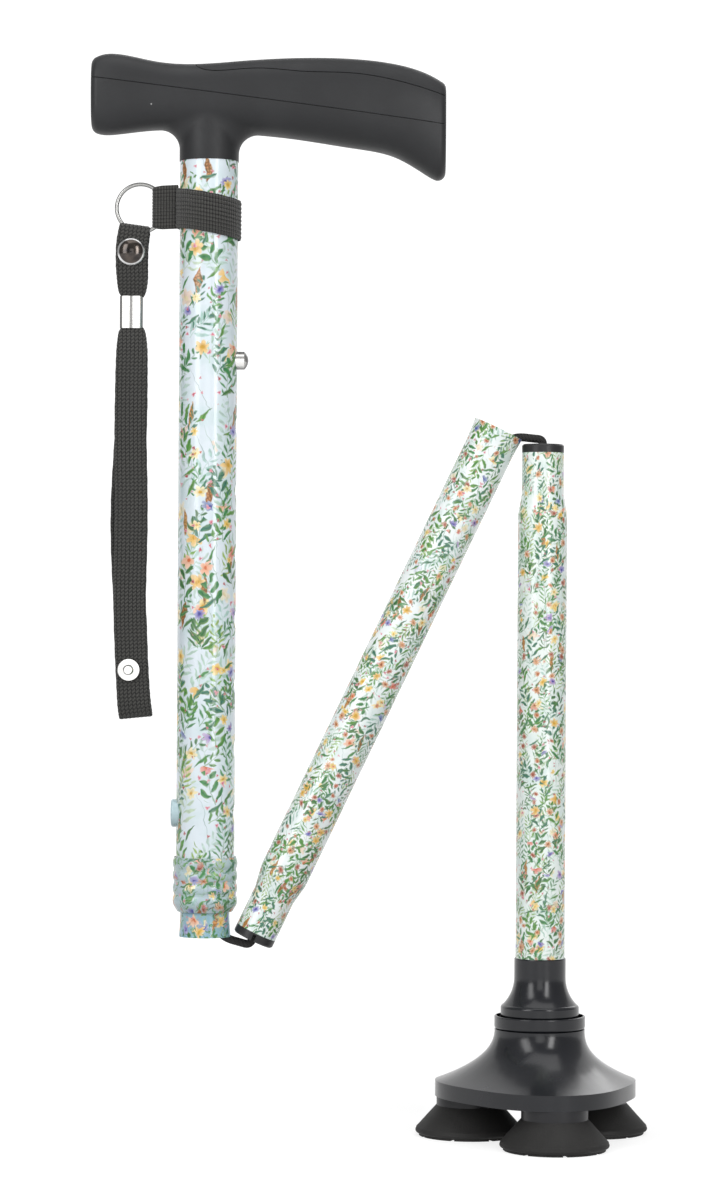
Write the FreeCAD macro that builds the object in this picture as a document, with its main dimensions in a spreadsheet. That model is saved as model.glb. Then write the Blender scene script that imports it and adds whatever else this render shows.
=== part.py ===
import FreeCAD, Part
import math
import os
import re

import Sketcher
from FreeCAD import Vector

# A folding, height-adjustable walking stick with a T handle, a wrist strap and a pivoting base on
# three feet, standing half folded: the lower section upright, the middle one leaning back from its
# top, and the upper one upright again beside it. Z is up, the lower tube's axis is X = Y = 0 and the
# feet stand on Z = 0. The handle lies along X and the stick is seen from -Y.

doc = FreeCAD.newDocument("WalkingStick")
sizes = doc.addObject("Spreadsheet::Sheet", "sizes")

# Every driving size, in millimetres or degrees: alias, value, meaning.
DRIVING = [
    ("tube_dia", 19.0, "outside of the lower, middle and inner tubes"),
    ("tube_wall", 1.1, "their wall"),
    ("neck_dia", 16.2, "necked end that plugs into the next section"),
    ("neck_length", 16.0, "straight neck"),
    ("taper_length", 8.0, "cone between neck and tube"),
    ("mouth_dia", 20.0, "flared mouth that takes the neck"),
    ("flare_length", 10.0, "length of the flare"),
    ("cap_height", 3.3, "end cap's head"),
    ("cap_dia", 16.2, "end cap's head, across"),
    ("cap_plug", 9.0, "end cap's plug inside the neck"),
    ("cap_slot", 1.3, "slot across the head"),
    ("cap_edge", 0.6, "head's chamfer"),
    ("fit_gap", 0.05, "between pieces that are pressed together"),
    ("free_gap", 0.3, "between pieces that move past each other"),
    ("cord_dia", 3.2, "elastic cord"),
    ("cord_hole", 4.4, "cord's hole through the caps and anchors"),
    ("cord_bend", 4.8, "cord's bend over a cap"),
    ("cord_lift", 0.1, "gap between the cord and the mouth's edge under it"),
    ("mouth_bend", 3.5, "cord's bend into the next mouth"),
    ("cord_entry", 4.0, "depth in a mouth where the loop ends"),
    ("cord_straight", 16.0, "depth where the cord leaves the wall"),
    ("cord_centre", 44.0, "depth where it reaches the axis"),
    ("fold_angle", 25.4, "angle between folded neighbours"),
    ("pivot_offset", 9.0, "fold pivot from both tube axes"),
    ("pivot_depth", 0.2, "pivot in front of the mouth"),
    ("pull_out", 2.0, "lower pivot beyond the cap when pulled out"),
    ("upper_pull_out", 3.2, "upper pivot beyond the cap when pulled out"),
    ("lower_top", 264.8, "height of the lower tube's end"),
    ("lower_anchor_top", 92.0, "cord anchor in the lower tube"),
    ("middle_length", 215.3, "middle tube"),
    ("button_to_end", 23.7, "inner tube's end above its button hole"),
    ("anchor_to_button", 46.3, "cord anchor under the button hole"),
    ("anchor_height", 7.0, "cord anchor"),
    ("outer_dia", 22.5, "outer tube"),
    ("outer_wall", 0.9, "its wall"),
    ("outer_foot", 26.5, "outer tube's lower end above the inner mouth"),
    ("hole_dia", 7.4, "height adjusting hole"),
    ("hole_count", 8, "adjusting holes"),
    ("last_hole", 47.3, "lowest hole above the inner mouth"),
    ("button_height", 222.2, "top hole above the inner mouth"),
    ("button_dia", 7.0, "spring button"),
    ("button_proud", 4.3, "button beyond the outer tube"),
    ("button_length", 12.0, "button with its shank"),
    ("spring_width", 6.4, "leaf spring across"),
    ("spring_thick", 0.8, "leaf spring's strip"),
    ("spring_length", 34.0, "leaf spring"),
    ("guide_height", 8.0, "guide ring on the inner tube's end"),
    ("lug_height", 47.5, "collet lug above the inner mouth"),
    ("lug_dia", 10.8, "collet lug"),
    ("lug_proud", 2.0, "lug beyond the outer tube"),
    ("bush_top", 58.0, "top of the collet bush"),
    ("bush_foot", 13.4, "foot of the collet fingers"),
    ("bush_thread", 16.0, "lower end of the bush's thread"),
    ("bush_bore", 19.5, "bush over the inner tube"),
    ("finger_slit", 1.2, "slit between collet fingers"),
    ("finger_slit_top", 22.0, "top of the slits"),
    ("collar_foot", 9.7, "collar's lower edge above the inner mouth"),
    ("collar_height", 21.0, "collar"),
    ("collar_dia", 25.0, "collar over its ribs"),
    ("collar_groove", 0.45, "depth between its ribs"),
    ("collar_groove_width", 0.9, "flat between its ribs"),
    ("collar_taper", 1.8, "slope at its lower edge"),
    ("handle_foot", 298.9, "handle neck's lower edge above the inner mouth"),
    ("handle_neck_dia", 22.9, "handle neck"),
    ("handle_fillet", 7.5, "neck to grip"),
    ("seam_gap", 0.3, "seam between the handle's shells"),
    ("seam_slope", 7.4, "seam falls towards the beak"),
    ("seam_height", 25.3, "seam above the neck's lower edge, on the axis"),
    ("seam_depth", 1.0, "depth of its groove"),
    ("handle_edge", 3.0, "rounding of both ends of the handle"),
    ("handle_crown", 2.7, "squareness of the grip above"),
    ("handle_keel", 2.4, "squareness of the grip below"),
    ("core_above", 16.0, "core inside the handle"),
    ("core_below", 20.0, "core under the neck's lower edge"),
    ("band_height", 278.1, "strap band above the inner mouth"),
    ("band_width", 15.3, "strap band"),
    ("webbing_thick", 1.3, "elastic webbing"),
    ("band_tilt", 12.0, "band hangs lower on the right"),
    ("tab_left", 21.8, "tab's end from the tube's axis"),
    ("tab_height", 16.2, "tab"),
    ("tab_thick", 4.2, "tab over the ring"),
    ("tab_middle", 281.3, "tab's middle above the inner mouth"),
    ("ring_dia", 18.4, "split ring, centre line"),
    ("ring_wire", 1.5, "its wire"),
    ("ring_from_axis", 26.4, "ring's centre from the tube's axis"),
    ("ring_height", 280.8, "ring's centre above the inner mouth"),
    ("strap_from_axis", 29.7, "strap's middle from the tube's axis"),
    ("strap_width", 12.4, "wrist strap"),
    ("strap_waist", 7.0, "strap gathered in its clamp"),
    ("strap_top", 274.8, "top fold above the inner mouth"),
    ("strap_foot", 83.7, "bottom fold above the inner mouth"),
    ("strap_top_bend", 3.6, "outside radius of the top fold"),
    ("strap_foot_bend", 4.2, "outside radius of the bottom fold"),
    ("clamp_top", 246.8, "clamp's top above the inner mouth"),
    ("clamp_height", 12.4, "clamp"),
    ("clamp_width", 8.9, "clamp across both barrels"),
    ("clamp_depth", 5.4, "clamp from front to back"),
    ("snap_height", 263.7, "press stud above the inner mouth"),
    ("snap_dia", 10.6, "press stud's cap"),
    ("snap_dome", 1.8, "its dome"),
    ("socket_dia", 9.0, "press stud's back"),
    ("socket_thick", 1.4, "its flange"),
    ("stud_height", 102.7, "strap stud above the inner mouth"),
    ("stud_dia", 8.9, "strap stud's flange"),
    ("stud_post_dia", 4.0, "its post"),
    ("stud_post", 3.9, "post beyond the strap"),
    ("ferrule_height", 22.4, "ferrule, from its underside to its top"),
    ("ferrule_dia", 19.9, "ferrule's sleeve"),
    ("ferrule_web", 6.5, "ferrule's underside to where the lower tube stops"),
    ("ferrule_rise", 4.9, "ferrule's underside above the neck ring's foot"),
    ("skirt_dia", 30.2, "ferrule's skirt"),
    ("skirt_band", 3.4, "upright band of the skirt"),
    ("skirt_bend", 15.0, "hollow curve of the skirt"),
    ("skirt_rise", 15.0, "where the skirt leaves the sleeve, above its underside"),
    ("pivot_drop", 5.6, "centre of the ball under the neck ring's foot"),
    ("ball_dia", 16.0, "ball"),
    ("stud_pin_dia", 6.0, "pin that carries the ball"),
    ("stud_flange_dia", 7.6, "flange that keeps the ball on"),
    ("ball_flat", 6.2, "flats above and below the ball's centre"),
    ("cup_wall", 1.7, "cup between ball and bell"),
    ("cup_rim", 4.2, "cup's rim above the ball's centre"),
    ("neck_ring_foot", 42.6, "ring on the bell's neck"),
    ("neck_ring_height", 5.1, "its height"),
    ("neck_ring_dia", 35.0, "its outside"),
    ("neck_ring_lip", 0.7, "lip round its dish"),
    ("neck_ring_floor", 2.2, "floor of its dish"),
    ("neck_ring_bore", 16.0, "its hole"),
    ("bell_neck_dia", 34.8, "bell's neck"),
    ("bell_rim_radius", 38.1, "mean radius of the bell's rim"),
    ("bell_lobe", 3.1, "rim's swell over each foot"),
    ("bell_band_top", 22.0, "top of the rim's band"),
    ("bell_foot", 16.0, "underside of the bell"),
    ("bell_wall", 2.4, "bell's wall"),
    ("bell_post_dia", 27.0, "post round the socket"),
    ("plate_thick", 2.4, "plate that closes the bell"),
    ("foot_radius", 28.6, "feet from the axis"),
    ("foot_turn", 9.0, "front foot turned from -Y towards +X"),
    ("boss_dia", 25.4, "boss over each foot"),
    ("boss_foot", 11.7, "boss's lower end"),
    ("pad_dia", 41.4, "foot pad"),
    ("pad_tread_dia", 39.0, "its tread"),
    ("pad_tread", 1.1, "tread's height"),
    ("pad_edge", 1.4, "upright edge over the tread"),
    ("groove_width", 1.6, "tread groove"),
    ("groove_depth", 0.5, "its depth"),
    ("groove_count", 8, "tread grooves"),
    ("screw_head_dia", 7.6, "foot screw's head"),
    ("screw_head", 2.2, "its height"),
    ("screw_dia", 3.8, "its shank"),
    ("screw_sink", 3.0, "its head above the floor"),
]
# Sizes that follow from the driving ones: alias, formula, meaning.
DERIVED = [
    ("inner_length", "=button_height + button_to_end", "inner tube"),
    ("inner_anchor_foot", "=button_height - anchor_to_button", "cord anchor above the inner mouth"),
    ("hole_pitch", "=(button_height - last_hole) / (hole_count - 1)", "pitch of the adjusting holes"),
    ("neck_ring_top", "=neck_ring_foot + neck_ring_height", "its top edge"),
    ("pivot_height", "=neck_ring_foot - pivot_drop", "centre of the ball"),
    ("ferrule_foot", "=neck_ring_foot + ferrule_rise", "ferrule's underside"),
    ("ferrule_floor", "=neck_ring_foot + ferrule_rise + ferrule_web", "where the lower tube stops"),
    ("skirt_start", "=neck_ring_foot + ferrule_rise + skirt_rise", "where the skirt leaves the sleeve"),
    ("ferrule_top", "=neck_ring_foot + ferrule_rise + ferrule_height", "ferrule over the lower tube"),
]
for row, (alias, value, meaning) in enumerate(DRIVING + DERIVED, start=1):
    sizes.set(f"A{row}", meaning)
    sizes.set(f"B{row}", str(value))
    sizes.setAlias(f"B{row}", alias)
doc.recompute()

pieces = []


def bound(text):
    """An expression with every alias, a name that holds an underscore, read from the sheet."""
    return re.sub(r"\b([a-z]+_[a-z_]+)\b", r"sizes.\1", str(text))


def size(text):
    """The number that an expression stands for."""
    return float(sizes.evalExpression(bound(text)))


# Places that follow from the fold. The middle section's mouth lies where its pivot, at the lower
# section's end, puts it, and the upper section's mouth follows in the same way from the middle one.
LOWER_END = "(lower_top + cap_height)"
MIDDLE_X = "(-pivot_offset * (1 + cos(fold_angle)) - pivot_depth * sin(fold_angle))"
MIDDLE_Z = f"({LOWER_END} + pull_out + pivot_offset * sin(fold_angle) - pivot_depth * cos(fold_angle))"
MIDDLE_REACH = "(middle_length + cap_height)"
MIDDLE_END_X = f"({MIDDLE_X} - {MIDDLE_REACH} * sin(fold_angle))"
MIDDLE_END_Z = f"({MIDDLE_Z} - {MIDDLE_REACH} * cos(fold_angle))"
UPPER_X = f"({MIDDLE_END_X} - upper_pull_out * sin(fold_angle) - pivot_offset * (1 + cos(fold_angle)))"
UPPER_Z = f"({MIDDLE_END_Z} - upper_pull_out * cos(fold_angle) + pivot_offset * sin(fold_angle) + pivot_depth)"


def placed(x="0", y="0", z="0", turn="0", axis="0; 1; 0"):
    """A placement as an expression."""
    return f"placement(vector({x}; {y}; {z}); rotation(vector({axis}); {turn}))"


LOWER = placed()
LOWER_LOOP = placed(z=LOWER_END)
MIDDLE = placed(MIDDLE_X, "0", MIDDLE_Z, "180 + fold_angle")
UPPER_LOOP = placed(MIDDLE_END_X, "0", MIDDLE_END_Z, "180", "cos(fold_angle / 2); 0; -sin(fold_angle / 2)")
UPPER = placed(UPPER_X, "0", UPPER_Z)
HANDLE = placed(UPPER_X, "0", f"{UPPER_Z} + handle_foot")


def keep(piece, label):
    """Name a finished sub-part and put it on the list of what is written out."""
    piece.Label = label
    pieces.append(piece)
    return piece


def new_body(label, frame):
    body = doc.addObject("PartDesign::Body", label)
    body.setExpression("Placement", bound(frame))
    return body


def new_sketch(body, name, role, shift="0"):
    """An empty sketch on one of the body's own planes, moved along the plane's normal by shift."""
    plane = next(feature for feature in body.Origin.OriginFeatures if feature.Role == role)
    sketch = body.newObject("Sketcher::SketchObject", name)
    sketch.AttachmentSupport = [(plane, "")]
    sketch.MapMode = "FlatFace"
    if shift != "0":
        sketch.setExpression("AttachmentOffset.Base.z", bound(shift))
    return sketch


def hold(sketch, kind, *place, name, text):
    """A named dimension driven by an expression."""
    index = sketch.addConstraint(Sketcher.Constraint(kind, *place, size(text)))
    sketch.renameConstraint(index, name)
    sketch.setExpression(f"Constraints.{name}", bound(text))


def outline(sketch, corners):
    """A closed outline. A corner is (x, y) or (x, y, bend): bend is the radius of the arc to the next
    corner, and starts with a minus where the arc turns clockwise."""
    points = [Vector(size(corner[0]), size(corner[1]), 0) for corner in corners]
    tips = []
    for index, corner in enumerate(corners):
        start, end = points[index], points[(index + 1) % len(points)]
        if len(corner) == 2:
            sketch.addGeometry(Part.LineSegment(start, end), False)
            tips.append((1, 2))
            continue
        clockwise = corner[2].startswith("-")
        if clockwise:
            start, end = end, start
        radius = size(corner[2].lstrip("-"))
        half = (end - start) * 0.5
        rise = math.sqrt(max(radius**2 - half.Length**2, 0))
        centre = start + half + Vector(-half.y, half.x, 0).normalize() * rise
        first = math.atan2(start.y - centre.y, start.x - centre.x)
        last = math.atan2(end.y - centre.y, end.x - centre.x)
        circle = Part.Circle(centre, Vector(0, 0, 1), radius)
        sketch.addGeometry(Part.ArcOfCircle(circle, first, last), False)
        tips.append((2, 1) if clockwise else (1, 2))
    for index, (_, last) in enumerate(tips):
        following = (index + 1) % len(tips)
        sketch.addConstraint(Sketcher.Constraint("Coincident", index, last, following, tips[following][0]))
    for index, corner in enumerate(corners):
        tip = tips[index][0]
        hold(sketch, "DistanceX", -1, 1, index, tip, name=f"across_{index}", text=corner[0])
        hold(sketch, "DistanceY", -1, 1, index, tip, name=f"along_{index}", text=corner[1])
        if len(corner) == 3:
            hold(sketch, "Radius", index, name=f"bend_{index}", text=corner[2].lstrip("-"))
    return sketch


def ring_line(sketch, across, along, radius):
    """A circle about a point of the sketch."""
    place = Vector(size(across), size(along), 0)
    index = sketch.addGeometry(Part.Circle(place, Vector(0, 0, 1), size(radius)), False)
    hold(sketch, "DistanceX", -1, 1, index, 3, name="across", text=across)
    hold(sketch, "DistanceY", -1, 1, index, 3, name="along", text=along)
    hold(sketch, "Radius", index, name="radius", text=radius)
    return sketch


def turned(body, name, corners, role="XZ_Plane"):
    """A solid of revolution about the sketch's upright axis."""
    sketch = outline(new_sketch(body, f"{name}_profile", role), corners)
    solid = body.newObject("PartDesign::Revolution", name)
    solid.Profile = sketch
    solid.ReferenceAxis = (sketch, ["V_Axis"])
    solid.Angle = 360
    return solid


def pad(body, name, sketch, length, both=False):
    solid = body.newObject("PartDesign::Pad", name)
    solid.Profile = sketch
    solid.setExpression("Length", bound(length))
    solid.Midplane = both
    return solid


def pocket(body, name, sketch, length, reverse=False, both=False):
    """A cut along the sketch's normal; it has to take something away."""
    before = body.Tip
    doc.recompute()
    full = before.Shape.Volume
    solid = body.newObject("PartDesign::Pocket", name)
    solid.Profile = sketch
    solid.setExpression("Length", bound(length))
    solid.Reversed = reverse
    solid.Midplane = both
    doc.recompute()
    if not solid.Shape.Volume < full - 1e-3:
        raise RuntimeError(f"{name} cuts nothing")
    return solid


def around(body, name, feature, count):
    """Copies of a feature round the body's own Z axis."""
    axis = next(item for item in body.Origin.OriginFeatures if item.Role == "Z_Axis")
    pattern = body.newObject("PartDesign::PolarPattern", name)
    pattern.Originals = [feature]
    pattern.Axis = (axis, [""])
    pattern.Angle = 360
    pattern.setExpression("Occurrences", bound(count))
    body.Tip = pattern
    return pattern


TUBE_RADIUS = "(tube_dia / 2)"
TUBE_BORE = "(tube_dia / 2 - tube_wall)"
NECK_RADIUS = "(neck_dia / 2)"
NECK_BORE = "(neck_dia / 2 - tube_wall)"
MOUTH_BEND = "(flare_length ^ 2 + (mouth_dia - tube_dia) ^ 2 / 4) / (mouth_dia - tube_dia)"


def necked_end(end):
    """The corners of a neck that ends at a height, up its outside and down its bore."""
    return [
        (TUBE_RADIUS, f"{end} - neck_length - taper_length"),
        (NECK_RADIUS, f"{end} - neck_length"),
        (NECK_RADIUS, end),
        (NECK_BORE, end),
        (NECK_BORE, f"{end} - neck_length"),
        (TUBE_BORE, f"{end} - neck_length - taper_length"),
    ]


def make_lower_tube():
    body = new_body("lower_tube", LOWER)
    foot = "ferrule_floor"
    turned(body, "lower_tube_wall", [(TUBE_BORE, foot), (TUBE_RADIUS, foot), *necked_end("lower_top")])
    keep(body, "lower_tube")


def make_middle_tube():
    body = new_body("middle_tube", MIDDLE)
    turned(
        body,
        "middle_tube_wall",
        [
            ("mouth_dia / 2 - tube_wall", "0"),
            ("mouth_dia / 2", "0", "-" + MOUTH_BEND),
            (TUBE_RADIUS, "flare_length"),
            *necked_end("middle_length"),
            (TUBE_BORE, "flare_length", MOUTH_BEND),
        ],
    )
    keep(body, "middle_tube")


def make_inner_tube():
    body = new_body("inner_tube", UPPER)
    turned(
        body,
        "inner_tube_wall",
        [
            ("mouth_dia / 2 - tube_wall", "0"),
            ("mouth_dia / 2", "0", "-" + MOUTH_BEND),
            (TUBE_RADIUS, "flare_length"),
            (TUBE_RADIUS, "inner_length"),
            (TUBE_BORE, "inner_length"),
            (TUBE_BORE, "flare_length", MOUTH_BEND),
        ],
    )
    hole = ring_line(new_sketch(body, "inner_hole_line", "YZ_Plane"), "0", "button_height", "hole_dia / 2")
    pocket(body, "inner_button_hole", hole, "tube_dia", reverse=True)
    keep(body, "inner_tube")


def make_end_cap(label, frame, end, slot_role):
    """The slotted black cap on a neck's end, with a rounded hole for the cord."""
    body = new_body(label, frame)
    hole = "cord_hole / 2"
    funnel = "(cord_bend - cord_hole / 2)"
    turned(
        body,
        f"{label}_form",
        [
            (hole, f"{end} - cap_plug"),
            (f"{NECK_BORE} - fit_gap", f"{end} - cap_plug"),
            (f"{NECK_BORE} - fit_gap", end),
            ("cap_dia / 2", end),
            ("cap_dia / 2", f"{end} + cap_height - cap_edge"),
            ("cap_dia / 2 - cap_edge", f"{end} + cap_height"),
            (f"{hole} + {funnel}", f"{end} + cap_height", funnel),
            (hole, f"{end} + cap_height - {funnel}"),
        ],
    )
    slot = outline(
        new_sketch(body, f"{label}_slot_line", slot_role),
        [
            ("-cap_slot / 2", f"{end} + cap_edge"),
            ("cap_slot / 2", f"{end} + cap_edge"),
            ("cap_slot / 2", f"{end} + cap_height * 2"),
            ("-cap_slot / 2", f"{end} + cap_height * 2"),
        ],
    )
    pocket(body, f"{label}_slot", slot, "cap_dia * 2", both=True)
    keep(body, label)


def make_anchor(label, frame, foot, up):
    """The nylon disc that a knot in the cord pulls against."""
    body = new_body(f"{label}_form", frame)
    rim = f"{TUBE_BORE} - fit_gap"
    turned(
        body,
        f"{label}_disc",
        [
            ("cord_hole / 2", foot),
            (rim, foot),
            (rim, f"{foot} + anchor_height"),
            ("cord_hole / 2", f"{foot} + anchor_height"),
        ],
    )
    knot = doc.addObject("Part::Sphere", f"{label}_knot")
    knot.setExpression("Radius", bound("cord_dia"))
    side = f"{foot} + anchor_height + cord_dia * 0.5" if up else f"{foot} - cord_dia * 0.5"
    shift = placed(z=side)
    knot.setExpression("Placement", bound(f"{frame} * {shift}"))
    joined = doc.addObject("Part::Fuse", f"{label}_with_knot")
    joined.Base = body
    joined.Tool = knot
    keep(joined, label)


def cord_wire(points, radii):
    """Straight runs joined by tangent arcs, in the XZ plane."""
    edges = []
    at = Vector(points[0][0], 0, points[0][1])
    for index in range(1, len(points) - 1):
        corner = Vector(points[index][0], 0, points[index][1])
        before = (corner - Vector(points[index - 1][0], 0, points[index - 1][1])).normalize()
        after = (Vector(points[index + 1][0], 0, points[index + 1][1]) - corner).normalize()
        turn = before.getAngle(after)
        reach = radii[index - 1] * math.tan(turn / 2)
        start = corner - before * reach
        end = corner + after * reach
        inward = (after - before).normalize()
        centre = corner + inward * (radii[index - 1] / math.cos(turn / 2))
        middle = centre - inward * radii[index - 1]
        if (start - at).Length > 1e-3:
            edges.append(Part.LineSegment(at, start).toShape())
        edges.append(Part.Arc(start, middle, end).toShape())
        at = end
    last = Vector(points[-1][0], 0, points[-1][1])
    if (last - at).Length > 1e-3:
        edges.append(Part.LineSegment(at, last).toShape())
    return Part.Wire(edges)


def make_cord(label, frame, points, radii):
    """A stretch of the elastic cord along a path in its section's own XZ plane."""
    path = cord_wire(points, radii)
    start = Vector(points[0][0], 0, points[0][1])
    ahead = path.OrderedEdges[0].tangentAt(path.OrderedEdges[0].FirstParameter)
    profile = Part.Wire(Part.Circle(start, ahead, size("cord_dia / 2")).toShape())
    solid = path.makePipeShell([profile], True, False)
    expected = path.Length * math.pi * size("cord_dia / 2") ** 2
    if abs(solid.Volume - expected) > 0.01 * expected:
        raise RuntimeError(f"{label} is {solid.Volume:.1f}, not {expected:.1f}")
    cord = doc.addObject("Part::Feature", label)
    cord.Shape = solid
    cord.setExpression("Placement", bound(frame))
    keep(cord, label)
    print(label, "length", round(path.Length, 1), "radii", [round(radius, 1) for radius in radii])


# The top of a loop's line over the pivot's level: it just clears the next mouth's inner edge.
CORD_OVER = "((pivot_offset - mouth_dia / 2 + tube_wall) * sin(fold_angle) - pivot_depth * cos(fold_angle)"
CORD_OVER += " + cord_dia / 2 + cord_lift)"
# Where a loop runs in its mouth, from the next tube's axis.
CORD_OFFSET = f"(pivot_offset - mouth_bend - ({CORD_OVER} - mouth_bend) * sin(fold_angle))"


def loop_points(pull):
    """A loop's corners from the cap's hole, over the cap and down into the next mouth."""
    rise = size(f"{pull} + {CORD_OVER}")
    fold = math.radians(size("fold_angle"))
    turn = math.pi / 2 - fold
    top_end = -size("pivot_offset") - size("mouth_bend") * math.tan(turn / 2)
    inside = size("cord_entry") - size(f"-({CORD_OVER} - mouth_bend) * cos(fold_angle) - pivot_depth")
    run = size("mouth_bend") * math.tan(turn / 2) + inside
    end = (top_end - math.sin(fold) * run, rise - math.cos(fold) * run)
    return [(0, rise - size("cord_bend")), (0, rise), (top_end, rise), end]


def make_cords():
    bends = [size("cord_bend"), size("mouth_bend")]
    make_cord("lower_cord_loop", LOWER_LOOP, loop_points("pull_out"), bends)
    make_cord("upper_cord_loop", UPPER_LOOP, loop_points("upper_pull_out"), bends)
    offset = size(CORD_OFFSET)
    depths = [size("cord_entry"), size("cord_straight"), size("cord_centre")]
    slack = [60.0, 60.0]
    foot = size("lower_anchor_top")
    lower_end = size(f"{LOWER_END} + pull_out + {CORD_OVER} - cord_bend")
    make_cord("lower_cord", LOWER, [(0, foot), (0, lower_end)], [])
    middle_end = size(f"{MIDDLE_REACH} + upper_pull_out + {CORD_OVER} - cord_bend")
    route = [(-offset, depths[0]), (-offset, depths[1]), (0, depths[2]), (0, middle_end)]
    make_cord("middle_cord", MIDDLE, route, slack)
    top = size("inner_anchor_foot")
    route = [(offset, depths[0]), (offset, depths[1]), (0, depths[2]), (0, top)]
    make_cord("inner_cord", UPPER, route, slack)


def make_outer_tube():
    """The outer tube with its row of adjusting holes and the hole for the collet's lug."""
    body = new_body("outer_tube", UPPER)
    radius = "outer_dia / 2"
    bore = "outer_dia / 2 - outer_wall"
    top = "handle_foot - fit_gap"
    turned(
        body,
        "outer_tube_wall",
        [(bore, "outer_foot"), (radius, "outer_foot"), (radius, top), (bore, top)],
    )
    top_hole = ring_line(new_sketch(body, "top_hole_line", "YZ_Plane"), "0", "button_height", "hole_dia / 2")
    hole = pocket(body, "top_hole", top_hole, "outer_dia", reverse=True)
    row = body.newObject("PartDesign::LinearPattern", "adjusting_holes")
    row.Originals = [hole]
    row.Direction = (top_hole, ["V_Axis"])
    row.Reversed = True
    row.setExpression("Length", bound("hole_pitch * (hole_count - 1)"))
    row.setExpression("Occurrences", bound("hole_count"))
    body.Tip = row
    doc.recompute()
    lug_hole = new_sketch(body, "lug_hole_line", "YZ_Plane")
    ring_line(lug_hole, "0", "lug_height", "lug_dia / 2 + fit_gap")
    pocket(body, "lug_hole", lug_hole, "outer_dia")
    keep(body, "outer_tube")


def make_collet_bush():
    """The bush in the outer tube's end: thread and slit fingers for the collar, and a lug that shows."""
    body = new_body("collet_bush", UPPER)
    bore = "bush_bore / 2"
    sleeve = "outer_dia / 2 - outer_wall - fit_gap"
    thread = "outer_dia / 2"
    turned(
        body,
        "bush_form",
        [
            (bore, "bush_foot"),
            (f"{bore} + 0.6", "bush_foot"),
            (thread, "bush_thread"),
            (thread, "outer_foot - fit_gap"),
            (sleeve, "outer_foot - fit_gap"),
            (sleeve, "bush_top"),
            (bore, "bush_top"),
        ],
    )
    slit = outline(
        new_sketch(body, "slit_line", "YZ_Plane"),
        [
            ("-finger_slit / 2", "bush_foot - 1"),
            ("finger_slit / 2", "bush_foot - 1"),
            ("finger_slit / 2", "finger_slit_top"),
            ("-finger_slit / 2", "finger_slit_top"),
        ],
    )
    cut = pocket(body, "slit", slit, "outer_dia", reverse=True)
    around(body, "slits", cut, "4")
    reach = "(outer_dia / 2 + lug_proud)"
    lug_line = new_sketch(body, "lug_line", "YZ_Plane", f"-{reach}")
    lug = pad(body, "lug", ring_line(lug_line, "0", "lug_height", "lug_dia / 2"), f"{reach} - bush_bore / 2 - 0.2")
    doc.recompute()
    face = max(range(len(lug.Shape.Edges)), key=lambda index: -lug.Shape.Edges[index].BoundBox.XMax)
    rounding = body.newObject("PartDesign::Fillet", "lug_rounding")
    rounding.Base = (lug, [f"Edge{face + 1}"])
    rounding.setExpression("Radius", bound("lug_proud * 0.45"))
    keep(body, "collet_bush")


def make_collar():
    """The ribbed collar that squeezes the collet's fingers round the inner tube."""
    body = new_body("collar_nut", UPPER)
    top = "(collar_foot + collar_height)"
    ribs = 4
    pitch = f"((collar_height - collar_taper) / {ribs})"
    outside = "collar_dia / 2"
    inset = "collar_dia / 2 - collar_groove"
    bow = f"((({pitch} - collar_groove_width) / 2) ^ 2 + collar_groove ^ 2) / (2 * collar_groove)"
    corners = [
        ("(tube_dia / 2 + free_gap)", "collar_foot"),
        (f"{outside} - collar_taper", "collar_foot"),
    ]
    for index in range(ribs):
        low = f"(collar_foot + collar_taper + {pitch} * {index})"
        corners.append((inset, f"{low} + collar_groove_width / 2", bow))
        corners.append((inset, f"{low} + {pitch} - collar_groove_width / 2"))
    bore = "(outer_dia / 2 + free_gap)"
    corners += [
        (inset, top),
        (f"{bore} + 0.4", top),
        (bore, f"{top} - 1.2"),
        (bore, "bush_thread - 0.2"),
        ("(tube_dia / 2 + free_gap)", "collar_foot + 1.6"),
    ]
    turned(body, "collar_form", corners)
    keep(body, "collar_nut")


def make_button():
    """The domed spring button and its bent leaf spring inside the inner tube."""
    body = new_body("snap_button", placed(UPPER_X, "0", f"{UPPER_Z} + button_height", "90"))
    tip = "(outer_dia / 2 + button_proud)"
    radius = "(button_dia / 2)"
    dome = "(button_dia * 0.22)"
    turned(
        body,
        "button_form",
        [
            ("0", f"{tip} - button_length"),
            (radius, f"{tip} - button_length"),
            (radius, f"{tip} - {dome}", f"({radius} ^ 2 + {dome} ^ 2) / (2 * {dome})"),
            ("0", tip),
        ],
    )
    keep(body, "snap_button")
    body = new_body("button_spring", UPPER)
    back = f"(-{TUBE_BORE} + 0.6)"
    front = f"({tip} - button_length - 0.3)"
    high = "button_height + button_dia / 2 + 1"
    low = f"({high} - spring_length)"
    leaf = outline(
        new_sketch(body, "leaf_line", "XZ_Plane"),
        [
            (front, high),
            (f"{front} - spring_thick", high),
            (f"{back} + spring_thick + 0.4", f"{low} + spring_thick * 2"),
            (f"{back} + spring_thick", f"{low} + spring_thick * 2"),
            (f"{back} + spring_thick", high),
            (back, high),
            (back, low),
            (f"{back} + spring_thick + 0.8", low),
        ],
    )
    pad(body, "leaf", leaf, "spring_width", both=True)
    keep(body, "button_spring")


def make_inner_guide():
    """The nylon ring on the inner tube's upper end."""
    body = new_body("inner_guide", UPPER)
    foot = "inner_length"
    turned(
        body,
        "guide_form",
        [
            ("tube_dia / 2 - tube_wall * 2.5", f"{foot} - guide_height"),
            (f"{TUBE_BORE} - fit_gap", f"{foot} - guide_height"),
            (f"{TUBE_BORE} - fit_gap", foot),
            ("outer_dia / 2 - outer_wall - free_gap * 0.8", foot),
            ("outer_dia / 2 - outer_wall - free_gap * 0.8", f"{foot} + guide_height / 3"),
            ("tube_dia / 2 - tube_wall * 2.5", f"{foot} + guide_height / 3"),
        ],
    )
    keep(body, "inner_guide")


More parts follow.
